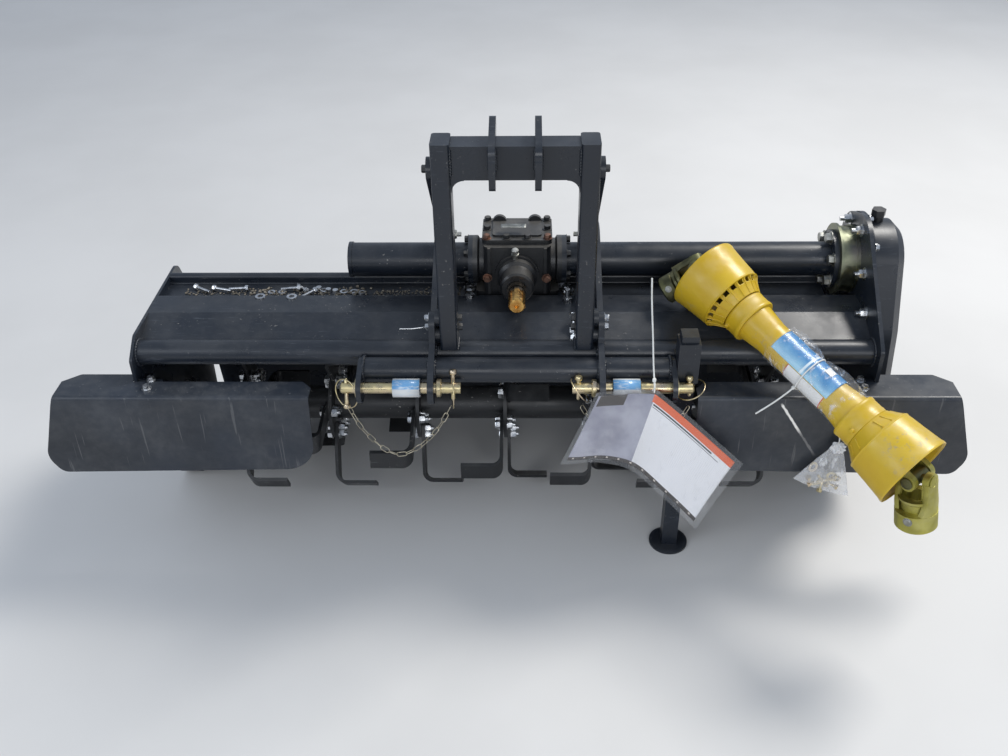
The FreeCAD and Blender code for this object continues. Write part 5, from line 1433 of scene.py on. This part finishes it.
def pouch(u, v):
    """Clear pouch: v runs down from the neck to the bottom seal and u round it. The width runs straight
    from the neck's to the seal's, the thickness swells as a sine and ends flat at the seal, and pleats fan
    out from the neck.
    """
    s = (1.0 - np.cos(u)) / 2.0
    neck = np.stack((0.660 + 0.026 * s, 0.316 - 0.004 * s), -1)
    seal = np.stack((0.596 + 0.121 * s, 0.234 - 0.076 * s + 0.029 * s**2), -1)
    w = (v**0.85)[..., None]
    flat = (1.0 - w) * neck + w * seal
    swell = 0.004 + 0.0115 * np.sin(math.pi * np.clip(v, 0.0, 1.0) ** 1.5) ** 0.7
    swell = swell * (1.0 - v**6) + 0.0004
    pleats = 1.0 + 0.16 * np.sin(
        u * 11.0 + v * 2.0
    ) * (1.0 - v) + 0.10 * np.sin(u * 5.0 - v * 9.0) + 0.05 * fold(u * 2.3 + v * 7.0)
    return np.stack((flat[..., 0], BAG_Y - np.sin(u) * swell * pleats, flat[..., 1]), -1)


class TILLER_OT_parts_bag(Operator):
    """Clear bag of fittings hung from the driveline: film, knotted neck, and the bolts inside it"""

    bl_idname = "tiller.parts_bag"
    bl_label = "Parts bag"

    def execute(self, context):
        v, u = spread(np.linspace(0.0, 1.0, 90), np.linspace(0.0, TURN, 120, endpoint=False))
        bag = Skin()
        bag.grid(pouch(u, v), wrap_columns=True)
        film = make_piece("bag_film", bag, "frame", "bag", 24.0, wall=0.0002)
        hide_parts("parts_bag")
        rng = np.random.default_rng(11)
        lat, lon = spread(np.linspace(0.0, math.pi, 26), np.linspace(0.0, TURN, 40, endpoint=False))
        lump = 0.0125 * (
            1.0 + 0.16 * np.sin(lon * 5.0 + lat * 3.0) * np.sin(lat)
            + 0.12 * np.sin(lon * 9.0 - lat * 7.0) * np.sin(lat)
        )
        knot = np.stack(
            (
                0.674 + 1.1 * lump * np.sin(lat) * np.cos(lon),
                -0.1700 + 0.8 * lump * np.sin(lat) * np.sin(lon), 0.3150 + lump * np.cos(lat),
            ),
            -1,
        )
        head = Skin()
        head.grid(knot, wrap_columns=True)
        make_piece("bag_knot", head, "frame", "film_bunched", 24.0)
        parts = Skin()
        bolt = hex_form(0.014, 0.007, 0.0085, 0.024, 10)
        ring_line = mm((6.0, 0.0), (11.0, 0.0), (11.0, 2.0), (6.0, 2.0))
        for k in range(11):
            s = 0.18 + 0.66 * ((k * 0.382) % 1.0)
            at = np.array(
                (0.614 + 0.088 * s, BAG_Y + rng.uniform(-0.002, 0.002), 0.238 - 0.052 * s + 0.018 * (k % 3))
            )
            way = unit(np.array((rng.uniform(-0.7, 1.0), rng.uniform(-0.18, 0.18), rng.uniform(-0.5, 0.9))))
            if k % 3 == 2:
                parts.turned(ring_line, at, unit(way * 0.4 + Y), 24, ring=True)
            else:
                parts.copies(bolt, at - way * 0.012, way, rng.uniform(0, TURN), 0.72)
        make_piece("bag_fittings", parts, "frame", "gold")
        return {"FINISHED"}


# Crumbs of earth in the hood's channel
CRUMBS = 620

# Fittings lying there: the bolts' head and tail, the washers' place and radius, the nuts' place
LOOSE_BOLTS = mm(
    (-683, 166, -644, 144), (-642, 160, -599, 150), (-563, 158, -602, 158), (-448, 160, -483, 158),
    (-432, 146, -446, 164), (-412, 152, -424, 142),
)
LOOSE_RINGS = mm(
    (-523, 101, 508.3, 11), (-455, 100, 508.3, 11), (-511, 150, 490.4, 8), (-488, 150, 490.4, 8),
    (-352, 152, 490.4, 9), (-330, 152, 490.4, 9), (-396, 158, 490.4, 9), (-312, 148, 490.4, 8),
)
LOOSE_NUTS = mm((-408, 160), (-386, 152), (-370, 148))


class TILLER_OT_loose_fittings(Operator):
    """Spare bolts, nuts and washers lying in the hood's channel with crumbs of earth, the gearbox's
    breather and blank plate, and a long spare bolt with its nuts and a split pin
    """

    bl_idname = "tiller.loose_fittings"
    bl_label = "Loose fittings"

    def execute(self, context):
        wide = context.scene.tiller_sizes.bolt_across
        bolt = hex_form(wide * 0.8, wide * 0.5, wide * 0.46, wide * 2.6, 16)
        nut = hex_form(wide * 0.9, wide * 0.6, wide * 0.46, 0.0)
        skin = Skin()
        for x0, y0, x1, y1 in LOOSE_BOLTS:
            skin.copies(bolt, (x0, y0, HOOD_Z + 0.0072), (x1 - x0, y1 - y0, -0.002), 0.4, 0.72)
        for x, y, z, r in LOOSE_RINGS:
            line = np.array(((r * 0.55, 0.0), (r, 0.0), (r, 0.0022), (r * 0.55, 0.0022)))
            skin.turned(line, (x, y, z), Z, 28, ring=True)
        for x, y in LOOSE_NUTS:
            skin.copies(nut, (x, y, HOOD_Z + 0.0003), Z, x * 40.0, 0.7)
        make_piece("loose_fittings", skin, "frame", "zinc")

        shaft = hex_form(0.017, 0.010, 0.0105, 0.058, 26)
        spare = Skin()
        start, way = mm((145, 8, 524))[0], unit((0.0, -40.0, -55.0))
        spare.copies(shaft, start, way, 0.3)
        spare.copies(
            nut, np.stack((start + way * 0.030, start + way * 0.045, start + way * 0.057)), way,
            (0.1, 0.8, 0.5),
        )
        cotter = mm((-146, -50, 530), (-158, -58, 531), (-180, -62, 530), (-205, -64, 531))
        spare.tube(cotter, 0.0011, 8, Z)
        make_piece("spare_bolt", spare, "frame", "zinc")

        box = Skin()
        plug = mm(
            (0.0, -12.0), (5.0, -12.0), (5.0, 0.0), (8.0, 0.4), (8.0, 5.0), (5.6, 5.6), (5.6, 9.0),
            (7.4, 9.4), (7.4, 15.0), (5.4, 17.0), (0.0, 17.6),
        )
        box.turned(plug, (0.024, 0.1045, 0.605), (0.0, -0.25, 1.0), 24)
        make_piece("breather", box, "frame", "dull_zinc")
        plate = Skin()
        u, v = spread(np.linspace(-0.006, 0.047, 12), np.linspace(0.149, 0.166, 6))
        plate.grid(np.stack((u, v, 0.64645 + 0.0002 * np.sin(u * 160.0)), -1))
        make_piece("blank_plate", plate, "frame", "dull_zinc", 40.0, wall=-0.0008, turn_out=False)

        rng = np.random.default_rng(3)
        lat, lon = spread(np.linspace(0.0, math.pi, 5), np.linspace(0.0, TURN, 7, endpoint=False))
        lump = np.stack(
            (
                np.sin(lat) * np.cos(lon) * (1.0 + 0.3 * np.sin(lon * 3.0)), np.sin(lat) * np.sin(lon),
                0.62 * np.cos(lat) + 0.3,
            ),
            -1,
        )
        count = CRUMBS
        along = rng.uniform(-0.70, 0.20, count)
        heap = 0.5 + 0.5 * np.sin(along * 23.0) * np.sin(along * 9.0 + 1.0)
        at = np.stack(
            (along, 0.148 + rng.normal(0.0, 0.010, count) * (0.5 + heap), np.full(count, HOOD_Z + 0.0006)),
            -1,
        )
        size = rng.uniform(0.0010, 0.0034, count) * (0.6 + 0.7 * heap)
        crumbs = Skin()
        crumbs.copies(
            (lump.reshape(-1, 3), weave(5, 7, False, True)), at, Z, rng.uniform(0.0, TURN, count), size,
        )
        make_piece("soil_crumbs", crumbs, "frame", "soil")
        return {"FINISHED"}


class TILLER_PT_panel(Panel):
    bl_label = "Rotary tiller"
    bl_idname = "TILLER_PT_panel"
    bl_space_type = "VIEW_3D"
    bl_region_type = "UI"
    bl_category = "Tiller"

    def draw(self, context):
        column = self.layout.column()
        for group in (context.scene.tiller_colours, context.scene.tiller_sizes):
            for name in group.__annotations__:
                column.prop(group, name)
        for step in STEPS:
            column.operator(step.bl_idname)


STEPS = (
    TILLER_OT_stage, TILLER_OT_finishes, TILLER_OT_fastenings, TILLER_OT_tine_bolts, TILLER_OT_welds,
    TILLER_OT_linch_pins, TILLER_OT_guard_bells, TILLER_OT_yoke_trim, TILLER_OT_papers, TILLER_OT_card,
    TILLER_OT_parts_bag, TILLER_OT_loose_fittings,
)
CLASSES = (TillerColours, TillerSizes, *STEPS, TILLER_PT_panel)


def register():
    for kind in CLASSES:
        bpy.utils.register_class(kind)
    bpy.types.Scene.tiller_colours = PointerProperty(type=TillerColours)
    bpy.types.Scene.tiller_sizes = PointerProperty(type=TillerSizes)


def unregister():
    del bpy.types.Scene.tiller_sizes
    del bpy.types.Scene.tiller_colours
    for kind in reversed(CLASSES):
        bpy.utils.unregister_class(kind)


def main():
    register()
    for step in STEPS:
        group, name = step.bl_idname.split(".")
        getattr(getattr(bpy.ops, group), name)()


if __name__ == "__main__":
    main()
